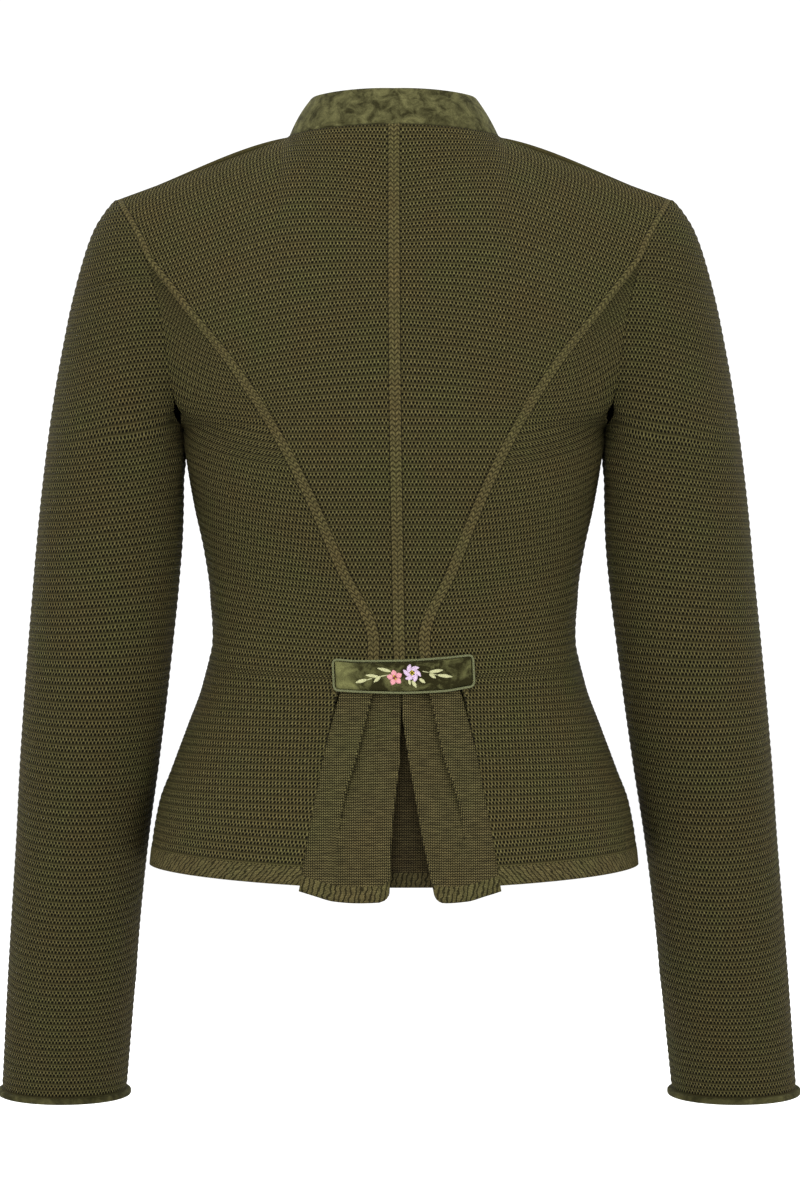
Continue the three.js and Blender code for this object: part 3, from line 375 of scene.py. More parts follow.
# %% A closed cloth from two grids
def shell(name, outer, inner, inner_at, uvs, slots, materials, ring_rows=0):
    """A closed cloth. inner_at gives the outer row of each inner row; uvs has one UV grid a slot."""
    rows, columns = outer.shape[:2]
    count = rows * columns
    out_id = np.arange(count).reshape(rows, columns)
    in_id = count + np.arange(inner.shape[0] * columns).reshape(-1, columns)
    weld = np.arange(count + in_id.size)
    inner_ring = int((inner_at < ring_rows).sum())
    weld[out_id[:ring_rows, -1]] = out_id[:ring_rows, 0]
    weld[in_id[:inner_ring, -1]] = in_id[:inner_ring, 0]

    def quads(g):
        return np.stack([g[:-1, :-1], g[:-1, 1:], g[1:, 1:], g[1:, :-1]], -1).reshape(-1, 4)

    faces = [quads(out_id), quads(in_id)[:, ::-1]]
    kinds = [slots.ravel(), np.zeros(len(faces[1]), int)]
    ends = [
        np.stack([out_id[0, :-1], in_id[0, :-1], in_id[0, 1:], out_id[0, 1:]], -1),
        np.stack([out_id[-1, :-1], out_id[-1, 1:], in_id[-1, 1:], in_id[-1, :-1]], -1),
    ]
    faces += ends
    kinds += [slots[0], slots[-1]]
    for k in range(len(inner_at) - 1):
        a, b = inner_at[k], inner_at[k + 1]
        if b < ring_rows:
            continue
        for column, backwards in ((0, False), (-1, True)):
            edge = [in_id[k + 1, column], in_id[k, column], *out_id[a:b + 1, column]]
            faces.append(np.array([edge[::-1] if not backwards else edge]))
            kinds.append(slots[a, column][None])
    uv_of = np.stack([
        np.concatenate([u.reshape(-1, 2), u[inner_at].reshape(-1, 2)]) for u in uvs
    ])
    points = np.concatenate([outer.reshape(-1, 3), inner.reshape(-1, 3)])
    return new_mesh(name, points, faces, (weld, uv_of), kinds, materials)


# %% Finishing a cloth
def shell_area(grid):
    """Area of a grid of points, in square metres, and its greatest width and length in metres."""
    a, b = grid[1:, 1:] - grid[:-1, :-1], grid[1:, :-1] - grid[:-1, 1:]
    area = np.linalg.norm(np.cross(a, b), axis=-1).sum() / 2
    wide = np.linalg.norm(np.diff(grid, axis=1), axis=-1).sum(1).max()
    long = np.linalg.norm(np.diff(grid, axis=0), axis=-1).sum(0).max()
    return area * MM * MM, wide * MM, long * MM


def finish_cloth(piece, node, base):
    """Attach one cloth to the root, hide the part it replaces, and print the flat size it was cut to."""
    area, wide, long = shell_area(base)
    flat = (round(wide + 0.002, 3), round(long + 0.002, 3))
    area = min(max(area, 0.31 * flat[0] * flat[1]), flat[0] * flat[1])
    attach(piece, "root")
    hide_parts(node)
    triangles = sum(len(p.vertices) - 2 for p in piece.data.polygons)
    print(piece.name, "flat", flat, "area", round(area, 4), "triangles", triangles)
    return piece


# %% [markdown]
# ## Helpers for materials
# Every finish is a Principled shader with nodes in front of it. A few small helpers keep the node code
# short: they add a node with its inputs, make and use a node group, and make and finish a material.

# %% Node helpers
def node(tree, kind, inputs=None, **settings):
    """Add a node. Inputs are values, or sockets that get linked."""
    made = tree.nodes.new(kind)
    for key, value in settings.items():
        setattr(made, key, value)
    for key, value in (inputs or {}).items():
        if isinstance(value, bpy.types.NodeSocket):
            tree.links.new(value, made.inputs[key])
        else:
            made.inputs[key].default_value = value
    return made


def maths(tree, operation, a, b=0.0, c=0.0):
    return node(tree, "ShaderNodeMath", {0: a, 1: b, 2: c}, operation=operation).outputs[0]


def new_group(name, inputs, outputs):
    """A node group with named sockets: each is (name, type, default)."""
    tree = bpy.data.node_groups.new(name, "ShaderNodeTree")
    for label, kind, default in inputs:
        socket = tree.interface.new_socket(label, in_out="INPUT", socket_type="NodeSocket" + kind)
        if default is not None:
            socket.default_value = default
    for label, kind in outputs:
        tree.interface.new_socket(label, in_out="OUTPUT", socket_type="NodeSocket" + kind)
    return tree, tree.nodes.new("NodeGroupInput").outputs, tree.nodes.new("NodeGroupOutput").inputs


def vectors(tree, operation, a, b):
    return node(tree, "ShaderNodeVectorMath", {0: a, 1: b}, operation=operation).outputs[0]


def use_group(tree, group, inputs):
    made = tree.nodes.new("ShaderNodeGroup")
    made.node_tree = bpy.data.node_groups[group]
    for key, value in inputs.items():
        if isinstance(value, bpy.types.NodeSocket):
            tree.links.new(value, made.inputs[key])
        else:
            made.inputs[key].default_value = value
    return made.outputs


def blend_colour(tree, share, a, b):
    made = node(tree, "ShaderNodeMix", data_type="RGBA")
    for socket, value in ((made.inputs[0], share), (made.inputs[6], a), (made.inputs[7], b)):
        if isinstance(value, bpy.types.NodeSocket):
            tree.links.new(value, socket)
        else:
            socket.default_value = value
    return made.outputs[2]


# %% Colours and whole materials
def srgb(red, green, blue):
    """A colour in the 0 to 255 numbers of a picture, as the linear colour that shaders use."""
    linear = [
        v / 12.92 if v <= 0.04045 else ((v + 0.055) / 1.055) ** 2.4
        for v in (red / 255, green / 255, blue / 255)
    ]
    return (*linear, 1.0)


def new_material(name, roughness, sheen=0.0, sheen_roughness=0.5, sheen_tint=(1, 1, 1, 1), specular=0.3):
    material = bpy.data.materials.new(name)
    material.use_nodes = True
    shader = material.node_tree.nodes["Principled BSDF"]
    shader.inputs["Roughness"].default_value = roughness
    shader.inputs["Sheen Weight"].default_value = sheen
    shader.inputs["Sheen Roughness"].default_value = sheen_roughness
    shader.inputs["Sheen Tint"].default_value = sheen_tint
    shader.inputs["Specular IOR Level"].default_value = specular
    return material, material.node_tree, shader


def finish_material(tree, shader, colour, height, distance, strength=1.0):
    tree.links.new(colour, shader.inputs["Base Color"])
    bump = node(tree, "ShaderNodeBump", {"Height": height, "Distance": distance, "Strength": strength})
    tree.links.new(bump.outputs[0], shader.inputs["Normal"])


print("a picture's mid grey as linear light:", round(srgb(128, 128, 128)[0], 3))

# %% [markdown]
# ## Stitches
# A garter rib shows its purl side: two rows of loops make one ridge, with dark gaps between the loops. One
# group draws a soft round spot in every stitch, and the next one puts five of them together: the deep gaps
# under the ridge, the loops that catch the light, the small gaps in the ridge, the loops' arms, and the
# groove between two rows of loops. The gaps and the groove are painted shade, the loops and their arms
# painted highlight.

# %% Group: a spot in every stitch
tree, given, result = new_group(
    "spot in every stitch",
    [("UV", "Vector", None), ("Across", "Float", 0.0), ("Up", "Float", 0.0), ("Width", "Float", 0.3),
     ("Height", "Float", 0.1)],
    [("Mask", "Float")],
)
split = node(tree, "ShaderNodeSeparateXYZ", {0: given["UV"]}).outputs
offsets = []
for axis, place, size in ((0, "Across", "Width"), (1, "Up", "Height")):
    moved = maths(tree, "ADD", maths(tree, "SUBTRACT", split[axis], given[place]), 0.5)
    centred = maths(tree, "SUBTRACT", maths(tree, "FRACT", moved), 0.5)
    offsets.append(maths(tree, "DIVIDE", centred, given[size]))
squares = [maths(tree, "MULTIPLY", v, v) for v in offsets]
spot = maths(tree, "EXPONENT", maths(tree, "MULTIPLY", maths(tree, "ADD", *squares), -1.0))
tree.links.new(spot, result["Mask"])
print("group:", tree.name)

# %% Group: garter rib
tree, given, result = new_group(
    "garter rib",
    [("UV", "Vector", None), ("Shadow", "Color", srgb(30, 26, 10)), ("Yarn", "Color", srgb(80, 72, 44)),
     ("Light", "Color", srgb(125, 116, 78))],
    [("Color", "Color"), ("Height", "Float")],
)
wobble = node(tree, "ShaderNodeTexNoise", {"Vector": given["UV"], "Scale": 0.9, "Detail": 2.0})
wobble = wobble.outputs["Color"]
shift = vectors(tree, "SUBTRACT", wobble, (0.5, 0.5, 0.5))
shift = vectors(tree, "MULTIPLY", shift, (0.5, 0.12, 0.0))
uv = vectors(tree, "ADD", given["UV"], shift)
# A negative weight paints shade towards Shadow, a positive one paints highlight towards Light.
SPOTS = (  # place across, place up, width, height, weight
    ("deep gap", 0.0, 0.0, 0.3, 0.15, -2.1),
    ("loop", 0.5, 0.94, 0.22, 0.14, 1.0),
    ("small gap", 0.5, 0.61, 0.3, 0.13, -2.3),
    ("arm", 0.0, 0.61, 0.18, 0.1, 1.0),
    ("groove", 0.5, 0.36, 9.0, 0.12, -0.7),
)
total = None
for _, across, up, width, height, weight in SPOTS:
    mask = use_group(tree, "spot in every stitch", {
        "UV": uv, "Across": across, "Up": up, "Width": width, "Height": height,
    })["Mask"]
    part = maths(tree, "MULTIPLY", mask, weight)
    total = part if total is None else maths(tree, "ADD", total, part)
dark = maths(tree, "MINIMUM", maths(tree, "MAXIMUM", maths(tree, "MULTIPLY", total, -1.0), 0.0), 1.0)
light = maths(tree, "MINIMUM", maths(tree, "MAXIMUM", total, 0.0), 1.0)
yarn = blend_colour(tree, light, given["Yarn"], given["Light"])
tree.links.new(blend_colour(tree, dark, yarn, given["Shadow"]), result["Color"])
tree.links.new(total, result["Height"])
print("group:", tree.name, "with", len(SPOTS), "spots")

# %% [markdown]
# Plain knit, which is also the flat column beside each seam, is a row of small Vs. Each V has two slanted
# legs: the legs slant up and out from the middle of the stitch, so a saw in the height, shifted by the
# distance from the middle, draws them.

# %% Group: plain knit
tree, given, result = new_group(
    "plain knit",
    [("UV", "Vector", None), ("Shadow", "Color", srgb(30, 26, 10)), ("Yarn", "Color", srgb(80, 72, 44)),
     ("Slant", "Float", 1.1), ("Split", "Float", 1.0)],
    [("Color", "Color"), ("Height", "Float")],
)
split = node(tree, "ShaderNodeSeparateXYZ", {0: given["UV"]}).outputs
from_middle = maths(tree, "ABSOLUTE", maths(tree, "SUBTRACT", maths(tree, "FRACT", split[0]), 0.5))
slanted = maths(tree, "SUBTRACT", split[1], maths(tree, "MULTIPLY", from_middle, given["Slant"]))
leg = maths(tree, "ABSOLUTE", maths(tree, "SUBTRACT", maths(tree, "FRACT", slanted), 0.5))
leg = maths(tree, "SUBTRACT", 1.0, maths(tree, "POWER", maths(tree, "MULTIPLY", leg, 2.0), 2.0))
side = maths(tree, "SUBTRACT", maths(tree, "MULTIPLY", from_middle, 4.0), 1.0)
side = maths(tree, "POWER", maths(tree, "ABSOLUTE", side), 3.0)
side = maths(tree, "SUBTRACT", 1.0, maths(tree, "MULTIPLY", side, given["Split"]))
rise = maths(tree, "MULTIPLY", leg, side)
tree.links.new(blend_colour(tree, rise, given["Shadow"], given["Yarn"]), result["Color"])
tree.links.new(rise, result["Height"])
print("group:", tree.name)

# %% [markdown]
# Yarn is never one colour: the dye takes a little browner or greener, and wear and light add soft clouds.
# This group is used by every knitted finish of the cardigan, each time with its own scale.

# %% Group: dyed clouds
tree, given, result = new_group(
    "dyed clouds",
    [("Color", "Color", (0.1, 0.1, 0.1, 1)), ("Green", "Float", 0.3), ("Brown", "Float", 0.3),
     ("Scale", "Float", 20.0)],
    [("Color", "Color")],
)
place = node(tree, "ShaderNodeTexCoord").outputs["Object"]
clouds = node(tree, "ShaderNodeTexNoise", {"Vector": place, "Scale": given["Scale"], "Detail": 4.0,
                                          "Roughness": 0.6}).outputs
green = node(tree, "ShaderNodeMapRange", {0: clouds[0], 1: 0.5, 2: 0.72}).outputs[0]
brown = node(tree, "ShaderNodeMapRange", {0: clouds[0], 1: 0.5, 2: 0.28}).outputs[0]
greener = vectors(tree, "MULTIPLY", given["Color"], (0.92, 1.16, 0.96))
browner = vectors(tree, "MULTIPLY", given["Color"], (1.08, 0.9, 0.86))
green_share = maths(tree, "MULTIPLY", green, given["Green"])
colour = blend_colour(tree, green_share, given["Color"], greener)
colour = blend_colour(tree, maths(tree, "MULTIPLY", brown, given["Brown"]), colour, browner)
tree.links.new(colour, result["Color"])
print("group:", tree.name)

# %% [markdown]
# ## The knitted finishes
# The ridged knit, the flat columns beside the seams, the slanted ribs of the hem and the fine jersey of the
# pleats are one dark olive yarn. Only their stitches differ, so each material joins one stitch group with
# the same clouds. The sleeves and the pleats' underlay take darker copies of these knits: painted shade.

# %% Knitted materials
SHADOW, YARN, LIGHT = (6, 4, 0), (77, 71, 41), (126, 118, 76)
SHEEN = srgb(150, 145, 100)


def shaded(colour, share):
    """A picture colour as linear light, times a share; a share below 1 paints the colour in shade."""
    return (*(share * v for v in srgb(*colour)[:3]), 1.0)


def knitted(name, draw, depth, scale=28.0):
    """draw(tree, uv) gives the colour and height of the stitches."""
    material, tree, shader = new_material(name, 0.95, 0.02, 0.5, SHEEN, 0.08)
    uv = node(tree, "ShaderNodeUVMap", uv_map="stitches").outputs[0]
    colour, height = draw(tree, uv)
    dyed = use_group(tree, "dyed clouds", {"Color": colour, "Green": 0.4, "Brown": 0.4, "Scale": scale})
    finish_material(tree, shader, dyed["Color"], height, depth)
    return material


def uneven(tree, colour, uv, stretch, scale, spread):
    """Small runs of stitches that came out paler or darker; stretch makes the runs long across or up."""
    place = vectors(tree, "MULTIPLY", uv, stretch)
    noise = node(tree, "ShaderNodeTexNoise", {"Vector": place, "Scale": scale, "Detail": 3.0}).outputs[0]
    gain = node(tree, "ShaderNodeMapRange", {0: noise, 1: 0.3, 2: 0.7, 3: 1 - spread, 4: 1 + spread})
    return vectors(tree, "MULTIPLY", colour, gain.outputs[0])


# %% How each knit draws its stitches
def garter(share):
    def draw(tree, uv):
        rib = use_group(tree, "garter rib", {
            "UV": uv, "Shadow": srgb(*SHADOW), "Yarn": shaded(YARN, share), "Light": shaded(LIGHT, share),
        })
        return rib["Color"], rib["Height"]
    return draw


def column(tree, uv):
    plain = use_group(tree, "plain knit", {
        "UV": uv, "Shadow": srgb(26, 22, 8), "Yarn": srgb(80, 73, 44), "Slant": 1.4, "Split": 0.35,
    })
    colour = uneven(tree, plain["Color"], uv, (2.0, 1.4, 1.0), 1.6, 0.5)
    across = node(tree, "ShaderNodeSeparateXYZ", {0: uv}).outputs[0]
    ditch = node(tree, "ShaderNodeMapRange", {0: across, 1: 1.3, 2: 1.46, 3: 0.0, 4: 1.0}).outputs[0]
    return blend_colour(tree, ditch, colour, srgb(*SHADOW)), plain["Height"]


def jersey_rows(shadow, yarn):
    def draw(tree, uv):
        plain = use_group(tree, "plain knit", {"UV": uv, "Slant": 1.3})
        sharp = maths(tree, "POWER", plain["Height"], 2.0)
        colour = blend_colour(tree, sharp, srgb(*shadow), srgb(*yarn))
        return uneven(tree, colour, uv, (0.25, 1.0, 1.0), 1.1, 0.4), plain["Height"]
    return draw


def hem_ribs(share):
    def draw(tree, uv):
        noise = node(tree, "ShaderNodeTexNoise", {"Vector": uv, "Scale": 0.9, "Detail": 3.0})
        wander = vectors(tree, "MULTIPLY", noise.outputs["Color"], (1.5, 0.4, 0.0))
        uv = vectors(tree, "ADD", uv, wander)
        gap = use_group(tree, "spot in every stitch",
                        {"UV": uv, "Across": 0.0, "Up": 0.5, "Width": 0.18, "Height": 9.0})["Mask"]
        fine = vectors(tree, "MULTIPLY", uv, (2.0, 3.0, 1.0))
        ply = use_group(tree, "spot in every stitch",
                        {"UV": fine, "Across": 0.5, "Up": 0.5, "Width": 0.35, "Height": 0.3})["Mask"]
        pale = blend_colour(tree, maths(tree, "MULTIPLY", ply, 0.9), shaded((60, 54, 30), share),
                            shaded((106, 98, 63), share))
        colour = blend_colour(tree, maths(tree, "MULTIPLY", gap, 0.75), pale, srgb(*SHADOW))
        height = maths(tree, "SUBTRACT", maths(tree, "MULTIPLY", ply, 0.4), gap)
        return uneven(tree, colour, uv, (1.0, 1.0, 1.0), 1.0, 0.25), height
    return draw


# %% The cardigan's knits
ridged_knit = knitted("ridged knit", garter(1.0), 0.0007)
# The sleeves take the same knit at 0.88 of its colour: painted shade, as they hang at the garment's sides.
sleeve_knit_in_shade = knitted("sleeve knit in painted shade", garter(0.88), 0.0007)
seam_band = knitted("seam band", column, 0.0006)
hem_rib = knitted("hem rib", hem_ribs(1.0), 0.0009)
# The underlay, recessed behind the pleats, takes a darker rib at 0.55 and a darker jersey: painted shade.
shaded_underlay_rib = knitted("underlay rib in painted shade", hem_ribs(0.55), 0.0009)
jersey = knitted("fine jersey", jersey_rows((9, 7, 1), (96, 88, 56)), 0.0004, 16.0)
underlay = knitted("underlay jersey in painted shade", jersey_rows((5, 3, 0), (68, 60, 37)), 0.0004, 16.0)
KNIT = [ridged_knit, seam_band, hem_rib]
print("knitted materials:", [m.name for m in (*KNIT, sleeve_knit_in_shade, shaded_underlay_rib, jersey, underlay)])

# %% [markdown]
# ## Ridges, bands and creases
# A ridge is 0.5 mm high and comes back every 5.5 mm. Beside a seam the cloth is flat and a
# little raised. Worn cloth also has creases: soft folds that run out from the underarm, over the elbow and
# into the waist. Each is a line with a width and a depth, given one by one.

# %% Relief of the knit
RIB, RINGS = 5.5, 4  # height of a rib in mm, and rings of faces in each
STITCH, COLUMN = 2.5, 4.0  # width of a stitch and of a column of faces
RIDGE, RIDGE_TOP = 0.5, 0.3  # height in mm, and the share of a rib where its top lies
HEM_RINGS = (0, 3.5, 7.5, 11.2)  # heights inside the hem band
HEM_RIB, HEM_LEAN, PLEAT_LEAN = 3.5, 1.18, 0.35  # pitch in mm, and how far a rib leans over one row
CUT_EDGE = 0.28  # share of a rib at which a cut edge shows the knit
BAND, BAND_STEP, BAND_RAISE = 4.4, 0.7, 0.3  # flat band beside a seam: width, step at its edge, height
BAND_AT = (0.0, 0.8, 2.2, 3.5, 4.4)  # columns inside a band, from the seam
BAND_STITCH, BAND_ROW = 4.4, 3.5  # one V of the band: width and height
CREASES = table(
    "number x0 y0 z0 x1 y1 z1 width depth",
    # from the underarm over the side of the back and front
    (1, 146, 30, -190, 96, 88, -236, 9, -1.6), (2, 146, 12, -212, 104, 74, -268, 8, 1.2),
    (3, 146, -30, -192, 100, -96, -232, 9, -1.6), (4, 146, -12, -212, 104, -82, -262, 8, 1.2),
    # the waist
    (5, 130, 0, -336, 70, 66, -352, 8, -1.3), (6, 130, -6, -350, 66, -88, -362, 8, -1.3),
    (7, 132, 20, -318, 84, 64, -326, 8, 1.0),
    # the sleeve: under the arm, at the elbow and on the forearm
    (8, 152, 30, -196, 214, 46, -246, 10, -2.0), (9, 150, 20, -226, 206, 48, -270, 10, 1.6),
    (10, 152, -30, -196, 214, -52, -246, 10, -2.0), (11, 150, -20, -226, 206, -54, -270, 10, 1.6),
    (12, 160, -30, -372, 226, -60, -392, 10, -1.8), (13, 162, -36, -400, 230, -64, -412, 10, 1.4),
    (14, 166, 20, -404, 236, 30, -398, 11, -1.2), (15, 172, 4, -452, 244, 16, -446, 11, 1.1),
    (16, 180, -8, -520, 250, -4, -512, 11, -1.1), (17, 186, -40, -590, 262, -20, -580, 12, 1.0),
    (18, 184, -90, -560, 240, -104, -548, 11, -1.2),
)


def creases(p):
    """How far the cloth moves out at each point."""
    move = np.zeros(p.shape[:-1])
    for k in range(len(CREASES["number"])):
        a = np.array([CREASES[c][k] for c in ("x0", "y0", "z0")])
        b = np.array([CREASES[c][k] for c in ("x1", "y1", "z1")])
        t = np.clip(((p - a) @ (b - a)) / ((b - a) @ (b - a)), 0, 1)
        away = np.linalg.norm(p - (a + t[..., None] * (b - a)), axis=-1)
        fade = 1 - 0.75 * t
        move += CREASES["depth"][k] * fade * np.exp(-((away / CREASES["width"][k]) ** 2))
    return move


def ridge(v):
    """Height of the ridged knit at v ribs above its start."""
    wave = 0.5 + 0.5 * np.cos(2 * np.pi * (v - RIDGE_TOP))
    return RIDGE * (wave**0.8 - 0.55)


print("creases:", len(CREASES["number"]), "ridge:", ridge(np.array([0.3, 0.8])).round(2))

# %% [markdown]
# ## Knitting a panel
# A panel is measured first: how long it is up its middle, which sets the rings so that every rib is equally
# high, and how wide each ring is, which sets the columns so that the flat band keeps its width. Then every
# point moves out by ridge, band or hem, and by the creases.

# %% Panels
def rings_of(surface, path, first, last, hem):
    """Rows of the rings, and how many ribs each lies above the start."""
    rows = np.linspace(first, last, 300)
    s, r = path(rows[:, None], np.linspace(0, 1, 31)[None, :])
    run = np.linalg.norm(np.diff(surface(np.abs(s), r), axis=0), axis=-1).mean(1)
    run = np.concatenate([[0], np.cumsum(run)])
    start = HEM_BAND if hem else 0.0
    low = HEM_RINGS if hem else [0.0]
    count = int((run[-1] - start) / RIB * RINGS)
    at = start + 0.4 + np.arange(count) * RIB / RINGS
    at = np.concatenate([low, at[at < run[-1] - 0.5], [run[-1]]])
    return np.interp(at, run, rows), (at - start) / RIB


# %% The grid of one panel
def panel_grid(surface, path, first, last, hem=False, band_end=False, lift=None, band_above=-999):
    rings, ribs = rings_of(surface, path, first, last, hem)
    q = np.linspace(0, 1, 61)
    s, r = path(rings[:, None], q[None, :])
    places = surface(np.abs(s), r) * point(np.where(s < 0, -1, 1), 1, 1)
    run = np.linalg.norm(np.diff(places, axis=1), axis=-1)
    run = np.concatenate([np.zeros((len(rings), 1)), np.cumsum(run, 1)], 1)
    length = run[:, -1:]
    band = np.minimum(BAND, length * 0.32)
    inside = np.array(BAND_AT)[None, :] / BAND * band
    low = band + BAND_STEP
    high = length - band - BAND_STEP if band_end else length
    count = max(4, int(round(length.max() / COLUMN)))
    parts = [inside, mix(low, high, np.linspace(0, 1, count + 1)[None, :])]
    if band_end:
        parts.append(length - inside[:, ::-1])
    at = np.concatenate(parts, 1)
    q_at = np.stack([np.interp(a, b, q) for a, b in zip(at, run)])
    s, r = path(rings[:, None], q_at)
    flip = point(np.where(s < 0, -1, 1), 1, 1)
    p = surface(np.abs(s), r) * flip
    n = normal_at(surface, np.abs(s), r) * flip
    from_edge = np.minimum(at, length - at) if band_end else at
    has_band = smooth(band_above - 5, band_above + 5, p[..., 2])
    flat = (1 - smooth(0, 1, (from_edge - band) / BAND_STEP)) * has_band
    knit = (1 - flat) * ridge(ribs)[:, None] + flat * BAND_RAISE
    if hem:
        is_hem = (ribs < 0)[:, None]
        knit = np.where(is_hem, BAND_RAISE, knit)
    end = smooth(0, 0.5, ribs[-1] - ribs)[:, None]
    move = creases(p) + (0 if lift is None else lift(p))
    outer = p + n * (knit * end + move)[..., None]
    inner = p + n * (move - WALL)[..., None]
    ribs = ribs.copy()
    ribs[-1] = math.floor(ribs[-1]) + CUT_EDGE  # the cut edge shows an even part of the pattern
    edge_run = np.linalg.norm(np.diff(p[:, 0], axis=0), axis=-1)
    edge_run = np.concatenate([[0], np.cumsum(edge_run)])[:, None]
    from_start = at if band_end or lift else length - at
    uv_knit = np.stack(np.broadcast_arrays(from_start / STITCH, ribs[:, None]), -1)
    uv_band = np.stack(np.broadcast_arrays(0.5 + from_edge / BAND_STITCH, edge_run / BAND_ROW), -1)
    uv_hem = np.stack(np.broadcast_arrays(at / HEM_RIB + ribs[:, None] * HEM_LEAN, ribs[:, None] * 1.6), -1)
    middle = (from_edge[:, :-1] + from_edge[:, 1:]) / 2
    slots = ((middle < band) & (has_band[:, 1:] > 0.5)).astype(int)[:-1]
    if hem:
        slots[ribs[:-1] < 0] = 2
    return dict(p=p, outer=outer, inner=inner, uvs=[uv_knit, uv_band, uv_hem], slots=slots)


# %% From a grid to a panel
def inner_rows(rows):
    return np.unique(np.concatenate([np.arange(0, rows, RINGS), [rows - 1]]))


def knit_panel(name, side, grid, drifts=True):
    keep = inner_rows(grid["outer"].shape[0])
    outer, inner, base = (placed(grid[k], side, drifts) for k in ("outer", "inner", "p"))
    piece = shell(name + "_knit", outer, inner[keep], keep, grid["uvs"], grid["slots"], KNIT)
    return finish_cloth(piece, name, base)


# %% [markdown]
# ## The back
# Two centre panels meet at the centre back and end under the tab. Two side panels lie beyond the princess
# seams, which curve from the armhole to the waist and give the back its shape without darts.

# %% Back panels
def centre_path(row, q):
    edge = np.where(row >= PRINCESS_TOP, 1.0, princess_share(np.minimum(row, PRINCESS_TOP)))
    return np.broadcast_arrays(q * np.minimum(edge, 1), row)


def side_path(row, q):
    edge = princess_share(inner_row(row))
    return mix(edge, 1.0, q), mix(inner_row(row), row, q**1.3)


centre = panel_grid(back_point, centre_path, CENTRE_END, TOP_ROW, band_end=True)
sides = panel_grid(back_point, side_path, HEM, PRINCESS_TOP - 0.5, hem=True, band_above=-388)
print("rings and columns:", centre["outer"].shape[:2], sides["outer"].shape[:2])
for side, word in ((1, "left"), (-1, "right")):
    knit_panel("back_centre_" + word, side, centre)
    knit_panel("back_side_" + word, side, sides)

# %% [markdown]
# ## The fronts
# The photograph hides them. They are finished plainly: the right front laps over the left one, and each has
# a flat band down its edge.

# %% Front panels
OVERLAP, OVERLAP_LIFT = 12.0, 4.6


def past_centre(row):
    """Share by which a row passes the centre front."""
    s = np.zeros_like(row)
    for _ in range(40):
        s = s + np.where(front_point(s, row)[..., 0] < OVERLAP, 0.004, 0)
    return np.where(row > PIT_ROW, 0.0, -s)


def front_path(row, q):
    return np.broadcast_arrays(mix(past_centre(row), 1.0, q), row)


for side, word in ((1, "left"), (-1, "right")):
    lift = OVERLAP_LIFT if side < 0 else 0.0
    grid = panel_grid(
        front_point, front_path, HEM, TOP_ROW, hem=True,
        lift=lambda p, lift=lift: lift * (1 - smooth(OVERLAP, 42, p[..., 0])),
    )
    knit_panel("front_" + word, side, grid, drifts=False)

# %% [markdown]
# ## The sleeves
# Each sleeve is one knitted tube whose upper rows open to the armhole. Its rows lie level at the outside
# and rise a little towards the body, and the forearm swings forward.

# %% Sleeve tables
SLEEVE = table(
    "edge outer out axis_y depth square tilt",
    (-40, -42, 195.5, 0, 8, 2, 0), (-48, -50, 202, 0, 21, 2, 0), (-60, -63, 210, 0, 31, 2, 0),
    (-77, -82, 217, 0, 42, 2, 0), (-108, -116, 226, -1, 52, 2, 0), (-125, -135, 230, -2, 55, 2.1, 0),
    (-160, -173, 237, -3, 56, 2.4, 0), (-203, -217, 243.3, -3, 55, 2.8, 0),
    (-247, -260, 248.2, -3, 53.5, 2.4, 0), (-310, -318, 253.6, -4, 51, 2.1, 1),
    (-350, -354, 257, -5, 50, 2, 3), (-392, -392, 260.5, -9, 49, 2, 7), (-440, -440, 264.6, -18, 48, 2, 11),
    (-491, -491, 268.4, -31, 46.5, 2, 14), (-542, -542, 272.8, -43, 45, 2, 15),
    (-594, -594, 277.3, -57, 43, 2, 14), (-645, -645, 281.4, -73, 41, 2, 9),
    (-675, -675, 283.8, -82, 40, 2, 6),
)
SLEEVE_INSIDE = table(
    "z x",
    (-675, 195.1), (-645, 191.9), (-594, 186.6), (-542, 181.3), (-491, 174.9), (-440, 167), (-392, 160.2),
    (-350, 155), (-310, 150.5), (-275, 147.8), (-247, 147.2), (-203, 147.6),
)
SLEEVE_END, SLEEVE_SPREAD, ARMHOLE_GAP = -671.0, 3.6, 0.1


# %% One row of the sleeve
def sleeve_row(edge_z, t, ends=None):
    """Points of one row: t runs from the back seam round the outside to the front seam."""
    out, axis_y, depth, outer_z = (look(SLEEVE, c, edge_z) for c in ("out", "axis_y", "depth", "outer"))
    tilt = np.tan(np.radians(look(SLEEVE, "tilt", edge_z)))
    power = 2 / look(SLEEVE, "square", edge_z)
    front = t > 0.5
    if ends is None:
        half = (out - look(SLEEVE_INSIDE, "x", edge_z)) / 2 + 0 * t
        b, stop = depth + 0 * t, math.pi + 0 * t
    else:
        end = np.where(front[..., None], ends[1], ends[0])
        rise = np.abs(end[..., 1] - axis_y)
        b = np.maximum(depth, rise + 0.5)
        past = edge_z < -100
        sine = (rise / b) ** (1 / power if past else 1)
        cosine = np.sqrt(1 - sine**2)
        if past:
            half, stop = (out - end[..., 0]) / (1 + cosine**power), math.pi - np.arccos(cosine)
        else:
            half, stop = (out - end[..., 0]) / (1 - cosine), np.arccos(cosine)
    around = np.abs(1 - 2 * t)
    missing = math.pi - stop
    angle = math.pi * around - missing * around ** np.clip(2.4 / np.maximum(missing, 0.1), 1, 4)
    inner = angle > math.pi / 2
    sine, cosine = np.maximum(np.sin(angle), 0), np.cos(angle)
    y = axis_y + b * np.where(inner, sine**power, sine) * np.where(front, -1, 1)
    x = out - half + half * np.where(inner, -(np.abs(cosine) ** power), cosine)
    climb = smooth(0.25, 1, angle / stop)
    return point(x, y, mix(outer_z, edge_z, climb) - (y - axis_y) * tilt)


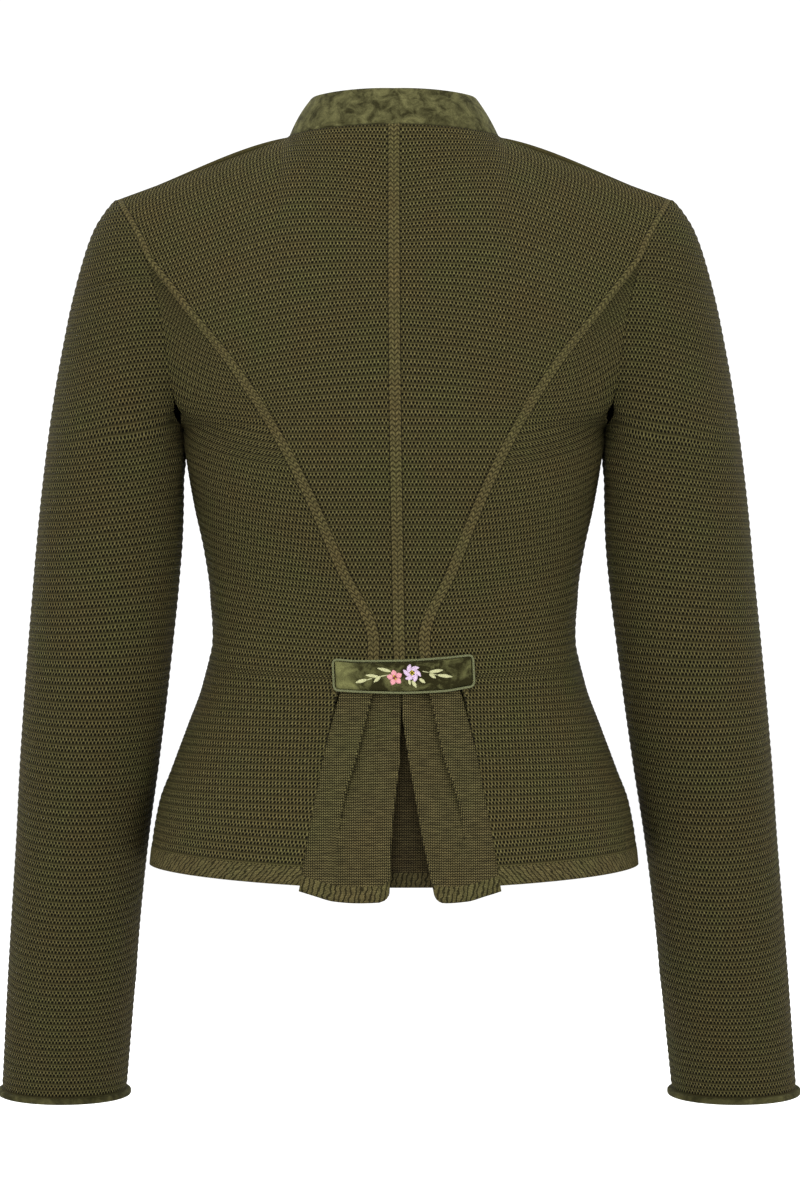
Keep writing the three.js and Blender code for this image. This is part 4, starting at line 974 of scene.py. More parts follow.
def sleeve_ends(row):
    ends = [armhole(row, face) + point(ARMHOLE_GAP, 0, 0) for face in ("back", "front")]
    if row >= TOP_ROW - 0.01:
        ends[0][1] += 2
        ends[1][1] -= 2
    return ends


print("elbow, inside and outside:", sleeve_row(-392.0, np.array([0.0, 0.5])).round(1).tolist())

# %% [markdown]
# The rings are again set so that every rib is equally high, this time along the outside of the arm. Above
# the underarm, the edge of the tube takes the body's own normal, so both cloths end on one seam.

# %% Sleeves
SLEEVE_COLUMNS = 76


def sleeve_point_rows(levels):
    """levels: negative numbers are heights of tube rings, then (row,) tuples above the underarm."""
    t = np.linspace(0, 1, SLEEVE_COLUMNS + 1)
    return np.stack([
        sleeve_row(level, t) if kind == "tube" else sleeve_row(
            float(look(ARMHOLE, "z", level)), t, sleeve_ends(level))
        for kind, level in levels
    ])


def sleeve_levels():
    coarse = [("tube", z) for z in np.linspace(SLEEVE_END, UNDERARM - 1, 90)]
    coarse += [("cap", row) for row in np.linspace(UNDERARM, TOP_ROW, 60)]
    outside = sleeve_point_rows(coarse)[:, SLEEVE_COLUMNS // 2]
    run = np.concatenate([[0], np.cumsum(np.linalg.norm(np.diff(outside, axis=0), axis=-1))])
    number = np.arange(len(coarse), dtype=float)
    ribs = np.arange(0.0, run[-1] / RIB, 1 / RINGS)
    levels = []
    for k in np.interp(ribs * RIB, run, number):
        i = min(int(k), len(coarse) - 2)
        (kind, a), (next_kind, b) = coarse[i], coarse[i + 1]
        if kind == next_kind:
            levels.append((kind, mix(a, b, k - i)))
        else:
            levels.append((kind, a))
    levels.append(("cap", TOP_ROW))
    return levels, np.append(ribs, run[-1] / RIB)


# %% Rings and normals of the sleeve
levels, sleeve_ribs = sleeve_levels()
tube_rows = sum(kind == "tube" for kind, _ in levels) + 1  # the first cap row still closes the tube
sleeve_base = sleeve_point_rows(levels)
up = np.gradient(sleeve_base, axis=0)
across = np.gradient(sleeve_base, axis=1)
across[:tube_rows, 0] = across[:tube_rows, -1] = (
    sleeve_base[:tube_rows, 1] - sleeve_base[:tube_rows, -2]
) / 2
sleeve_normal = unit(np.cross(up, across))
for i in range(tube_rows, len(levels)):
    row = levels[i][1]
    share = float(smooth(-134, PRINCESS_TOP, row))
    for column, surface in ((0, back_point), (-1, front_point)):
        body = normal_at(surface, np.array(1.0), np.array(row))
        sleeve_normal[i, column] = unit(mix(sleeve_normal[i, column], body, share))
edge_gap = np.minimum(np.arange(SLEEVE_COLUMNS + 1), np.arange(SLEEVE_COLUMNS, -1, -1))
near_seam = np.where(np.arange(len(levels))[:, None] >= tube_rows, smooth(0, 1.5, edge_gap)[None, :], 1.0)
near_end = smooth(0, 0.5, sleeve_ribs[-1] - sleeve_ribs)[:, None] * smooth(-0.3, 0.3, sleeve_ribs)[:, None]
sleeve_move = creases(sleeve_base) * near_end
sleeve_knit = ridge(sleeve_ribs)[:, None] * near_seam * near_end
sleeve_outer = sleeve_base + sleeve_normal * (sleeve_knit + sleeve_move)[..., None]
sleeve_inner = sleeve_base + sleeve_normal * (sleeve_move - WALL)[..., None]
around = np.linalg.norm(np.diff(sleeve_base, axis=1), axis=-1)
around = np.concatenate([np.zeros((len(levels), 1)), np.cumsum(around, 1)], 1)
around -= around[:, SLEEVE_COLUMNS // 4:SLEEVE_COLUMNS // 4 + 1]
sleeve_uv = np.stack(np.broadcast_arrays(around / STITCH, sleeve_ribs[:, None]), -1)
print("sleeve rings:", len(levels), "closed:", tube_rows)


# %% Both sleeves
def hang(p, side):
    """The right arm hangs a little further out at the cuff, the left one a little less."""
    spread = -side * SLEEVE_SPREAD * np.clip((-300 - p[..., 2]) / 370, 0, 1)
    return point(side * (p[..., 0] + spread), p[..., 1], p[..., 2])


for side, word in ((1, "left"), (-1, "right")):
    keep = inner_rows(len(levels))
    outer, inner, base = (hang(g, side) for g in (sleeve_outer, sleeve_inner, sleeve_base))
    piece = shell(
        f"sleeve_{word}_knit", outer, inner[keep], keep, [sleeve_uv] * 3,
        np.zeros((len(levels) - 1, SLEEVE_COLUMNS), int), [sleeve_knit_in_shade, seam_band, hem_rib],
        ring_rows=tube_rows,
    )
    finish_cloth(piece, "sleeve_" + word, base)

# %% [markdown]
# ## Velvet
# The collar, the tab and the cuffs are a short velvet with a mottled pile: where the pile lies over, it turns
# paler and greener. Sheen gives the pale rim of a pile, and two noises give the clouds of the pile and the
# fine grain. On the tab, the end on the wearer's left is painted paler as well: a painted highlight.

# %% Velvet and piping materials
def velvet_material(name, dark, pale, cloud_scale, start, highlight_from=None):
    """start is the cloud value from which the pile turns pale; highlight_from is an x beyond which a
    highlight is painted paler.
    """
    material, tree, shader = new_material(name, 0.95, 0.06, 0.4, srgb(170, 175, 120), specular=0.08)
    place = node(tree, "ShaderNodeTexCoord").outputs["Object"]
    clouds = node(tree, "ShaderNodeTexNoise", {
        "Vector": place, "Scale": cloud_scale, "Detail": 8.0, "Roughness": 0.68, "Distortion": 0.6,
    }).outputs[0]
    grain = node(tree, "ShaderNodeTexNoise", {"Vector": place, "Scale": 1400.0, "Detail": 2.0}).outputs[0]
    share = node(tree, "ShaderNodeMapRange", {0: clouds, 1: start, 2: start + 0.26}).outputs[0]
    # Painted highlight: the pile is painted paler beyond an x, towards the tab's end.
    if highlight_from is not None:
        x = node(tree, "ShaderNodeSeparateXYZ", {0: place}).outputs[0]
        painted_highlight = node(tree, "ShaderNodeMapRange", {0: x, 1: highlight_from, 2: highlight_from + 0.012, 4: 0.6})
        share = maths(tree, "MINIMUM", maths(tree, "ADD", share, painted_highlight.outputs[0]), 1.0)
    colour = blend_colour(tree, share, dark, pale)
    speck = node(tree, "ShaderNodeMapRange", {0: grain, 1: 0.2, 2: 0.8, 3: 0.72, 4: 1.2}).outputs[0]
    colour = vectors(tree, "MULTIPLY", colour, speck)
    height = maths(tree, "ADD", grain, maths(tree, "MULTIPLY", clouds, 2.0))
    finish_material(tree, shader, colour, height, 0.0004)
    return material


velvet = velvet_material("velvet", srgb(38, 36, 17), srgb(88, 86, 54), 110.0, 0.38)
tab_velvet = velvet_material("tab velvet", srgb(33, 31, 12), srgb(98, 98, 60), 70.0, 0.46, 0.022)
cuff_velvet = velvet_material("cuff velvet", srgb(38, 36, 17), srgb(74, 71, 43), 80.0, 0.4)

cord, tree, shader = new_material("piping", 0.45, 0.2, 0.4, srgb(200, 200, 150), specular=0.5)
uv = node(tree, "ShaderNodeUVMap", uv_map="stitches").outputs[0]
twist = node(tree, "ShaderNodeTexWave", {"Vector": uv, "Scale": 1.0, "Distortion": 0.4},
             bands_direction="DIAGONAL")
colour = blend_colour(tree, twist.outputs["Fac"], srgb(70, 72, 40), srgb(112, 116, 74))
finish_material(tree, shader, colour, twist.outputs["Fac"], 0.0002)
print("velvet:", velvet.name, tab_velvet.name, cuff_velvet.name)

# %% [markdown]
# ## The collar
# A stand collar is a straight strip that follows the neck, and leans in as the neck does. Its upper edge is
# folded, so the wall closes in a round rim instead of a cut one.

# %% Collar
COLLAR_WALL, COLLAR_BOW = 2.6, 1.2
COLLAR_GAP, COLLAR_INSET = -0.5, 0.4  # how far its foot lies from the neck's line, up and in
COLLAR_END = 1.955  # the turn at which it ends, short of the centre front
COLLAR_LEAN = table("turn lean up", (0, 12, 26.5), (0.6, 14.5, 28), (1, 17, 28.6), (2, 6, 25))
turns = np.linspace(-COLLAR_END, COLLAR_END, 181)
heights = np.concatenate([np.linspace(0, 0.9, 15), 1 - 0.1 * np.cos(np.linspace(0, math.pi / 2, 7)[1:])])
turn = np.abs(turns)[None, :]
foot = neck_point(turn)
inward = unit(point(-foot[..., 0], -(foot[..., 1] - NECK["side_y"]), 0))
lean, rise = look(COLLAR_LEAN, "lean", turn)[..., None], look(COLLAR_LEAN, "up", turn)[..., None]
direction = inward * lean + rise * point(0, 0, 1)
collar_normal = unit(lean * point(0, 0, 1) - inward * rise)
v = heights[:, None, None]
collar_base = foot + inward * COLLAR_INSET + point(0, 0, COLLAR_GAP) + direction * v
wave = 0.35 * np.sin(turns * 9.0) * np.sin(heights * math.pi)[:, None]
rim = np.sqrt(np.clip(1 - ((heights - 0.9) / 0.1) ** 2, 0, 1))
rim = np.where(heights > 0.9, rim, 1.0)[:, None, None]
bow = COLLAR_BOW * np.sin(math.pi * np.minimum(v, 1))
middle = collar_base + collar_normal * (bow - COLLAR_WALL / 2 + wave[..., None])
flip = point(np.where(turns < 0, -1, 1), 1, 1)[None]
collar_outer = (middle + collar_normal * rim * COLLAR_WALL / 2) * flip
collar_inner = (middle - collar_normal * np.maximum(rim, 0.04) * COLLAR_WALL / 2) * flip
uv = np.stack(np.broadcast_arrays(turns[None, :] * 40, heights[:, None] * 10), -1)
collar = shell("collar_velvet", collar_outer, collar_inner, np.arange(len(heights)), [uv],
               np.zeros((len(heights) - 1, len(turns) - 1), int), [velvet])
finish_cloth(collar, "collar", collar_base * flip)

# %% [markdown]
# ## The cuffs
# Each sleeve ends in a narrow velvet binding, folded over the edge. Its section is a soft rounded square,
# swept round the last ring of the sleeve.

# %% Swept rings
def swept_ring(name, sections, uvs, materials):
    """A closed ring from sections that are closed loops of points."""
    count, size = sections.shape[:2]
    grid = np.arange(count * size).reshape(count, size)
    padded = np.pad(grid, ((0, 1), (0, 1)), mode="wrap")
    corner = np.arange((count + 1) * (size + 1)).reshape(count + 1, size + 1)
    quads = np.stack([corner[:-1, :-1], corner[:-1, 1:], corner[1:, 1:], corner[1:, :-1]], -1).reshape(-1, 4)
    u, w = np.meshgrid(uvs[0], uvs[1], indexing="ij")
    uv_of = np.stack([u, w], -1).reshape(1, -1, 2)
    return new_mesh(name, sections.reshape(-1, 3), [quads], (padded.ravel(), uv_of),
                    [np.zeros(len(quads), int)], materials)


CUFF_HEIGHT, CUFF_DEPTH, CUFF_GAP = 4.6, 4.2, -1.0
t = np.arange(96) / 96
edge = sleeve_row(SLEEVE_END, t)
next_edge, last_edge = sleeve_row(SLEEVE_END, (t + 0.01) % 1), sleeve_row(SLEEVE_END, (t + 0.99) % 1)
outward = unit(np.cross(next_edge - last_edge, point(0, 0, 1)))
centre_line = edge - outward * WALL / 2 - point(0, 0, CUFF_HEIGHT / 2 + CUFF_GAP)
angle = np.arange(14) / 14 * 2 * math.pi
rounded = [np.sign(f(angle)) * np.abs(f(angle)) ** 0.75 for f in (np.cos, np.sin)]
section = (
    centre_line[:, None] + outward[:, None] * (CUFF_DEPTH / 2 * rounded[0])[None, :, None]
    + point(0, 0, 1) * (CUFF_HEIGHT / 2 * rounded[1])[None, :, None]
)
for side, word in ((1, "left"), (-1, "right")):
    cuff_uv = (np.linspace(0, 60, 97), np.linspace(0, 3, 15))
    cuff = swept_ring(f"cuff_{word}_velvet", hang(section, side), cuff_uv, [cuff_velvet])
    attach(cuff, "root")
    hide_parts("cuff_" + word)
    print(cuff.name, "faces", len(cuff.data.polygons))

# %% [markdown]
# ## The pleats
# Below the waist, one strip of fine jersey is folded into a fan: an outer fold on each side, and two folds
# that meet at the top and open towards the hem over an underlay. The strip is drawn as one line at each
# height, from the wearer's left to right. Towards the hem the outer folds open into soft steps, so the line
# has two sets of points there, folded and opened, and each row mixes them.

# %% Pleat line
JERSEY, PLEAT_LAYER = 1.2, 1.8
PLEATS = table(
    "z edge_left outer_left inner_left inner_right outer_right edge_right open",
    (-379, 40, 18, 1, -1, -18, -40, 0), (-390, 43, 21, 0.9, -0.9, -21, -43, 0.1),
    (-430, 53, 31, 1.4, -5.5, -30, -53, 0.4), (-454, 57.5, 38, 4, -9.5, -38, -57.5, 0.6),
    (-481, 62.3, 43, 6.5, -14, -43.5, -62.3, 0.8), (-525, 69.5, 48, 8.5, -23, -48, -69.5, 1),
)
OPENED = ((5, 0.3), (3.5, 0.1), (2, -0.2), (0.8, -0.5), (-0.4, -0.8), (-1.6, -1.0), (-3, -1.1), (-4.5, -1.0),
          (-6.5, -0.8))
UNDERLAY_FROM = 16


def pleat_half(read, word, sign, soft):
    """Points from the strip's edge to the middle of the underlay, as (x, lift)."""
    opened, face, turn = read["open"], -JERSEY / 2, PLEAT_LAYER / 2
    edge, outer = abs(read["edge_" + word]), abs(read["outer_" + word])
    inner = read["inner_" + word] * sign

    def down(turns):
        return face - turn * turns

    def fold(x, lift, out):
        return [(x + turn * out, lift), (x + turn * 0.3, lift - turn * 0.3), (x, lift - turn),
                (x + turn * 0.3, lift - turn * 1.7)]

    def turn_back(x, turns):
        return [(x - turn, down(turns)), (x, down(turns + 1))]

    top = face + 1.8 * opened * (1 - soft)
    rim = mix(down(2), face + 2.0 * opened, opened)
    back_outer, back_inner = outer + 9, inner + 13
    folded = [
        *fold(outer, top, 1.4), (outer + turn * 1.4, top - turn * 2), *turn_back(back_outer, 2.1),
        (back_outer - turn, down(4.1)), (outer - 1, down(4)),
    ]
    free = [(outer + x, face + lift) for x, lift in OPENED]
    middle = (mix(outer, inner, 0.45), mix(down(3.2 * (1 - opened * 0.6)), face - 0.2, soft))
    return [
        (edge - 0.5, face), (mix(edge, outer, 0.5), face + 0.3 * opened),
        *((mix(a, c, soft), mix(b, d, soft)) for (a, b), (c, d) in zip(folded, free)),
        middle, *fold(inner, rim, 3), (inner + turn * 3, rim - turn * 2.1), *turn_back(back_inner, 6.2),
        (back_inner - turn, down(8.2) - 0.44 * opened), (mix(back_inner, 0, 0.6), down(8.6) - 1.1 * opened),
    ]


def pleat_line(z):
    """Middle line of the folded strip at one height."""
    read = {c: float(look(PLEATS, c, z)) for c in PLEATS}
    soft = float(1 - smooth(-500, -436, z))
    left, right = pleat_half(read, "left", 1, soft), pleat_half(read, "right", -1, soft)
    return np.array(left + [(-x, lift) for x, lift in reversed(right)])


print("points of the pleat line:", len(pleat_line(-450.0)))

# %% [markdown]
# The line above has few points. Between them we add more on a smooth curve, and give the rows soft waves,
# because a hanging pleat is never flat. The strip's lower edge hangs lowest in the middle of each lobe, and
# its corners beside the opening are rounded. The lowest rows carry the same slanted ribs as the hem.

# %% Pleats
PER_SPAN, PLEAT_ROWS, PLEAT_HEM_ROWS, CORNER = 4, 40, 3, 6.5
PLEAT_WAVE, PLEAT_WAVE_DEPTH, UNDERLAY_END = 20.5, 0.9, -517.5
PLEAT_END = table(
    "x z", (0, -526), (14, -528), (30, -528.5), (45, -527.5), (58, -524), (69.5, -520.5),
)


def rounded_line(line):
    """A smooth curve through the points, with the same number of points in each span."""
    before = np.vstack([2 * line[:1] - line[1:2], line, 2 * line[-1:] - line[-2:-1]])
    a, b, c, d = before[:-3], before[1:-2], before[2:-1], before[3:]
    t = (np.arange(PER_SPAN) / PER_SPAN)[:, None, None]
    curve = 0.5 * (
        2 * b + (c - a) * t + (2 * a - 5 * b + 4 * c - d) * t**2 + (3 * b - a - 3 * c + d) * t**3
    )
    return np.vstack([curve.transpose(1, 0, 2).reshape(-1, 2), line[-1:]])


def pleat_grid():
    shares = np.linspace(0, 1, PLEAT_ROWS + 1)
    heights = mix(-379.0, -525.0, shares)
    lines = np.stack([rounded_line(pleat_line(z)) for z in heights])
    along = np.gradient(lines, axis=1)
    normal = unit(np.stack([-along[..., 1], along[..., 0]], -1))
    count = lines.shape[1]
    k = np.arange(count) / PER_SPAN
    last = (count - 1) / PER_SPAN
    deep = (k >= UNDERLAY_FROM) & (k <= last - UNDERLAY_FROM)
    x = lines[..., 0]
    is_left = (k < last / 2)[None, :]
    inner = np.where(is_left, look(PLEATS, "inner_left", heights)[:, None],
                     -look(PLEATS, "inner_right", heights)[:, None])
    from_fold = np.where(is_left, x, -x) - inner
    corner = np.clip(1 - from_fold[-1] / CORNER, 0, 1)
    end = look(PLEAT_END, "z", np.abs(x[-1])) + CORNER * (1 - np.sqrt(1 - corner**2)) * 0.9
    end = np.where(deep, UNDERLAY_END, end)
    z = mix(-379.0, end[None, :], shares[:, None])
    wave = np.cos(2 * math.pi * (from_fold - 3) / PLEAT_WAVE) * smooth(-450, -520, z)
    soft = PLEAT_WAVE_DEPTH * wave * smooth(-2, 2, from_fold) * ~deep
    grids = []
    for sign in (-0.5, 0.5):
        across = x + normal[..., 0] * JERSEY * sign
        grids.append(on_back(across, z, lines[..., 1] + soft + normal[..., 1] * JERSEY * sign))
    height = z - end[None, :]
    uv_jersey = np.stack([x / 2.5, z / 1.75], -1)
    uv_hem = np.stack([x / HEM_RIB + height / RIB * PLEAT_LEAN, height / RIB * 1.6], -1)
    return grids, [uv_jersey, uv_hem, uv_jersey, uv_hem], deep


(pleat_outer, pleat_inner), pleat_uvs, pleat_deep = pleat_grid()
pleat_slots = np.zeros((PLEAT_ROWS, pleat_outer.shape[1] - 1), int)
pleat_slots[-PLEAT_HEM_ROWS:] = 1
# The underlay's columns take the darker jersey and rib, which paint its shade.
pleat_slots[:, pleat_deep[1:]] += 2
pleats = shell("pleats_jersey", pleat_outer, pleat_inner, np.arange(PLEAT_ROWS + 1), pleat_uvs,
               pleat_slots, [jersey, hem_rib, underlay, shaded_underlay_rib])
finish_cloth(pleats, "pleats", pleat_outer)

# %% [markdown]
# ## The tab and its piping
# The tab is velvet over a thin filling: highest in its middle, and falling to a tight edge. A satin cord
# runs round it in the seam.

# %% Tab
TAB = table(
    "x top bottom",
    (43.9, -364.3, -383.4), (28, -365.5, -384.4), (0, -365.2, -385.1), (-28, -363.5, -384.0),
    (-49.4, -361.3, -380.6),
)
TAB_RIGHT, TAB_LEFT = TAB["x"][0], TAB["x"][-1]
TAB_LIFT, TAB_THICKNESS, TAB_CROWN = 1.2, 2.4, 0.9


def tab_edges(u):
    x = mix(TAB_LEFT, TAB_RIGHT, u)
    return x, look(TAB, "top", x), look(TAB, "bottom", x)


def tab_height(u, v):
    """Lift of the tab's outer face over the back: u runs across, v up."""
    crown = TAB_CROWN * np.minimum(1, np.minimum(6 * u, 6 * (1 - u))) * np.sin(math.pi * v)
    across = 1 - (1 - np.minimum(1, np.minimum(u, 1 - u) * 40)) ** 2
    upright = 1 - (1 - np.minimum(1, np.minimum(v, 1 - v) * 9)) ** 2
    return TAB_LIFT + TAB_THICKNESS * np.sqrt(np.clip(across * upright, 0.02, 1)) + crown


ease_u = 0.5 - 0.5 * np.cos(np.linspace(0, math.pi, 81))
ease_v = 0.5 - 0.5 * np.cos(np.linspace(0, math.pi, 29))
u, v = np.meshgrid(ease_u, ease_v)
x, top, bottom = tab_edges(u)
z = mix(bottom, top, v)
tab_outer, tab_inner = on_back(x, z, tab_height(u, v)), on_back(x, z, TAB_LIFT)
uv = np.stack([x, z], -1) / 2.5
tab = shell("tab_velvet", tab_outer, tab_inner, np.arange(len(ease_v)), [uv],
            np.zeros((len(ease_v) - 1, len(ease_u) - 1), int), [tab_velvet])
finish_cloth(tab, "tab", tab_inner)

# %% Piping
PIPING = 0.8
clear = PIPING + SEAM_GAP
long_side, short_side = np.linspace(0, 1, 70), np.linspace(0, 1, 18)[1:-1]
x, top, bottom = tab_edges(long_side)
over = clear * np.where(long_side < 0.5, 1, -1) * smooth(0.44, 0.5, np.abs(long_side - 0.5)) * 0.7
upper = np.stack([x + over, top + clear], -1)
lower = np.stack([x + over, bottom - clear], -1)[::-1]
ends = []
for share, sign in ((1.0, -1), (0.0, 1)):
    x, top, bottom = (float(q) for q in tab_edges(np.array(share)))
    start, stop = (top, bottom) if share else (bottom, top)
    end_x = np.full(len(short_side), x + sign * clear * 1.2)
    ends.append(np.stack([end_x, mix(start, stop, short_side)], -1))
path = np.vstack([upper, ends[0], lower, ends[1]])
for _ in range(2):
    path = (np.roll(path, 1, 0) + 2 * path + np.roll(path, -1, 0)) / 4
line = on_back(path[:, 0], path[:, 1], TAB_LIFT + PIPING + 0.1)
raised = on_back(path[:, 0], path[:, 1], TAB_LIFT + PIPING + 1.1)
along = unit(np.roll(line, -1, 0) - np.roll(line, 1, 0))
out = unit(raised - line)
sideways = unit(np.cross(along, out))
angle = (np.arange(10) / 10 * 2 * math.pi)[None, :, None]
section = line[:, None] + PIPING * (out[:, None] * np.cos(angle) + sideways[:, None] * np.sin(angle))
length = np.linalg.norm(np.roll(line, -1, 0) - line, axis=-1).sum()
piping_uv = (np.linspace(0, length, len(path) + 1), np.linspace(0, 6, 11))
piping = swept_ring("tab_piping_cord", section, piping_uv, [cord])
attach(piping, "root")
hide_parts("tab_piping")
print("piping:", round(float(length)), "mm long")

# %% [markdown]
# ## Embroidery
# The flowers on the tab are satin stitch: threads laid side by side across each petal, so every petal is a
# small raised pillow that shines along its threads. One petal is modelled once, as half a ball, drawn in
# towards its tips. Every leaf, petal and knot is a copy of it, laid on the tab's own surface.

# %% One petal
bpy.ops.object.select_all(action="DESELECT")
bpy.ops.mesh.primitive_uv_sphere_add(segments=14, ring_count=10, radius=1.0, rotation=(0, math.pi / 2, 0))
petal = bpy.context.object
bpy.ops.object.transform_apply(rotation=True)
bpy.ops.object.mode_set(mode="EDIT")
bpy.ops.mesh.select_all(action="SELECT")
bpy.ops.mesh.bisect(plane_co=(0, 0, 0), plane_no=(0, 0, 1), clear_inner=True, use_fill=True)
bpy.ops.mesh.select_all(action="DESELECT")
bpy.ops.object.mode_set(mode="OBJECT")
for vertex in petal.data.vertices:
    vertex.select = vertex.co.x > 0.55
bpy.ops.object.mode_set(mode="EDIT")
bpy.ops.transform.resize(value=(1.0, 0.72, 1.0), center_override=(0, 0, 0))
bpy.ops.object.mode_set(mode="OBJECT")
print("petal faces:", len(petal.data.polygons))

# %% [markdown]
# The thread's shine comes from fine parallel lines, 0.7 mm apart. They cross the petal at a
# slant, and the group takes its two colours, so each flower and leaf uses the same thread in its own dye.

# %% Group: satin thread
tree, given, result = new_group(
    "satin thread",
    [("UV", "Vector", None), ("Deep", "Color", (0.1, 0.1, 0.1, 1)), ("Shine", "Color", (0.5, 0.5, 0.5, 1)),
     ("Pitch", "Float", 0.5)],
    [("Color", "Color"), ("Height", "Float")],
)
split = node(tree, "ShaderNodeSeparateXYZ", {0: given["UV"]}).outputs
slanted = maths(tree, "ADD", maths(tree, "MULTIPLY", split[0], 0.8), maths(tree, "ABSOLUTE", split[1]))
thread = maths(tree, "ABSOLUTE", maths(tree, "SUBTRACT", maths(tree, "FRACT", maths(
    tree, "DIVIDE", slanted, given["Pitch"])), 0.5))
thread = maths(tree, "SUBTRACT", 1.0, maths(tree, "POWER", maths(tree, "MULTIPLY", thread, 2.0), 3.0))
tree.links.new(blend_colour(tree, thread, given["Deep"], given["Shine"]), result["Color"])
tree.links.new(thread, result["Height"])


def thread_material(name, deep, shine):
    material, tree, shader = new_material(name, 0.5, 0.05, 0.4, (1, 1, 1, 1), 0.3)
    uv = node(tree, "ShaderNodeUVMap", uv_map="stitches").outputs[0]
    satin = use_group(tree, "satin thread", {
        "UV": uv, "Deep": srgb(*deep), "Shine": srgb(*shine), "Pitch": 0.7,
    })
    finish_material(tree, shader, satin["Color"], satin["Height"], 0.0002)
    return material


LEAF_THREAD = thread_material("cream thread", (66, 66, 36), (190, 190, 142))
PINK_THREAD = thread_material("pink thread", (160, 84, 98), (214, 150, 156))
WINE_THREAD = thread_material("wine thread", (84, 30, 24), (122, 52, 38))
LILAC_THREAD = thread_material("lilac thread", (150, 112, 150), (204, 184, 206))
YELLOW_THREAD = thread_material("yellow thread", (150, 130, 24), (206, 190, 60))
print("threads:", [m.name for m in (LEAF_THREAD, PINK_THREAD, WINE_THREAD, LILAC_THREAD, YELLOW_THREAD)])


# %% Sewing on the tab
def on_tab(x, z, lift):
    u = (TAB_LEFT - x) / (TAB_LEFT - TAB_RIGHT)
    top, bottom = look(TAB, "top", x), look(TAB, "bottom", x)
    v = np.clip((z - bottom) / (top - bottom), 0, 1)
    return on_back(x, z, tab_height(u, v) + lift)


# %% A copy for every stitch shape
def satin_stitches(name, shapes, material):
    """shapes: x and z of base and tip, width and height in mm. The copies are joined to one piece."""
    copies = []
    for x0, z0, x1, z1, width, height in shapes:
        mesh = petal.data.copy()
        a, b, c = np.array([v.co for v in mesh.vertices]).T
        long = math.hypot(x1 - x0, z1 - z0)
        to_x, to_z = (x1 - x0) / long, (z1 - z0) / long
        along, across = (a + 1) / 2 * long, b * width / 2
        x, z = x0 + to_x * along + to_z * across, z0 + to_z * along - to_x * across
        place = on_tab(x, z, c * height - 0.12)
        mesh.vertices.foreach_set("co", (place * MM).ravel())
        while mesh.uv_layers:
            mesh.uv_layers.remove(mesh.uv_layers[0])
        layer = mesh.uv_layers.new(name="stitches")
        corner = np.array([loop.vertex_index for loop in mesh.loops])
        layer.uv.foreach_set("vector", np.stack([along, across], -1)[corner].ravel())
        mesh.polygons.foreach_set("use_smooth", np.ones(len(mesh.polygons), bool))
        mesh.materials.append(material)
        mesh.update()
        copy = bpy.data.objects.new(name, mesh)
        bpy.context.scene.collection.objects.link(copy)
        copies.append(copy)
    bpy.ops.object.select_all(action="DESELECT")
    for copy in copies:
        copy.select_set(True)
    bpy.context.view_layer.objects.active = copies[0]
    bpy.ops.object.join()
    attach(copies[0], "root")
    print(name, "stitch shapes:", len(shapes))


def turned_from(x, z, radius, angle):
    return x + radius * math.cos(math.radians(angle)), z + radius * math.sin(math.radians(angle))


# %% Leaves and flowers
LEAVES = (  # base, tip, width, height
    (6.3, -372.0, 15.4, -369.6, 2.6, 0.8), (14.7, -375.5, 23.7, -374.5, 2.3, 0.8),
    (13.3, -375.2, 18.2, -379.4, 2.4, 0.8), (22.8, -377.6, 30.4, -379.6, 2.6, 0.8),
    (-19.6, -372.4, -29.3, -371.0, 2.6, 0.8), (-19.6, -373.8, -24.1, -376.6, 2.4, 0.8),
    (-25.2, -374.5, -35.4, -375.7, 2.6, 0.8), (-5.6, -377.0, -6.3, -381.4, 2.0, 0.7),
    (-7.7, -378.2, -10.5, -383.0, 2.6, 0.8), (-12.6, -376.9, -16.6, -379.8, 2.6, 0.8),
    (7.7, -374.2, 18.9, -376.6, 0.8, 0.4), (18.9, -376.6, 23.1, -378.0, 0.8, 0.4),
    (-14.7, -371.7, -19.6, -372.8, 0.7, 0.4), (-19.6, -373.1, -25.5, -374.6, 0.7, 0.4),
)
PINK_AT, ROSE_AT = (3.9, -376.2), (-8.0, -373.1)
satin_stitches("embroidered_leaves", LEAVES, LEAF_THREAD)
satin_stitches("embroidered_pink_petals", [
    (*turned_from(*PINK_AT, 1.0, turn), *turned_from(*PINK_AT, 5.4, turn), 3.9, 1.0)
    for turn in range(80, 440, 72)
], PINK_THREAD)
satin_stitches("embroidered_pink_heart", [
    (*turned_from(*PINK_AT, 1.5, turn), *turned_from(*PINK_AT, 1.5, turn + 180), 1.2, 1.5)
    for turn in (10, 70, 130)
], WINE_THREAD)
rose = [
    (*turned_from(*ROSE_AT, 3.1, turn), *turned_from(*ROSE_AT, 6.3, turn + 62), 3.0, 1.0)
    for turn in range(20, 380, 60)
]
rose += [
    (*turned_from(*ROSE_AT, 2.9, turn), *turned_from(*ROSE_AT, 3.3, turn + 80), 2.1, 1.5)
    for turn in range(0, 360, 72)
]
satin_stitches("embroidered_rose_petals", rose, LILAC_THREAD)
satin_stitches("embroidered_knots", [
    (*turned_from(x, z, 0.5, turn), *turned_from(x, z, 1.8, turn), 1.3, height)
    for (x, z), height, turns in ((ROSE_AT, 1.9, (0, 90, 180, 270)), (PINK_AT, 1.9, (60, 240)))
    for turn in turns
], YELLOW_THREAD)
bpy.data.objects.remove(petal)

# %% [markdown]
# ## Buttons
# The front isn't seen in the photograph. Such a cardigan closes with small round buttons, so one plain
# button is modelled: a disc whose face is inset to a rim and a low dome. It is then copied down the front,
# each copy turned to the cloth under it.

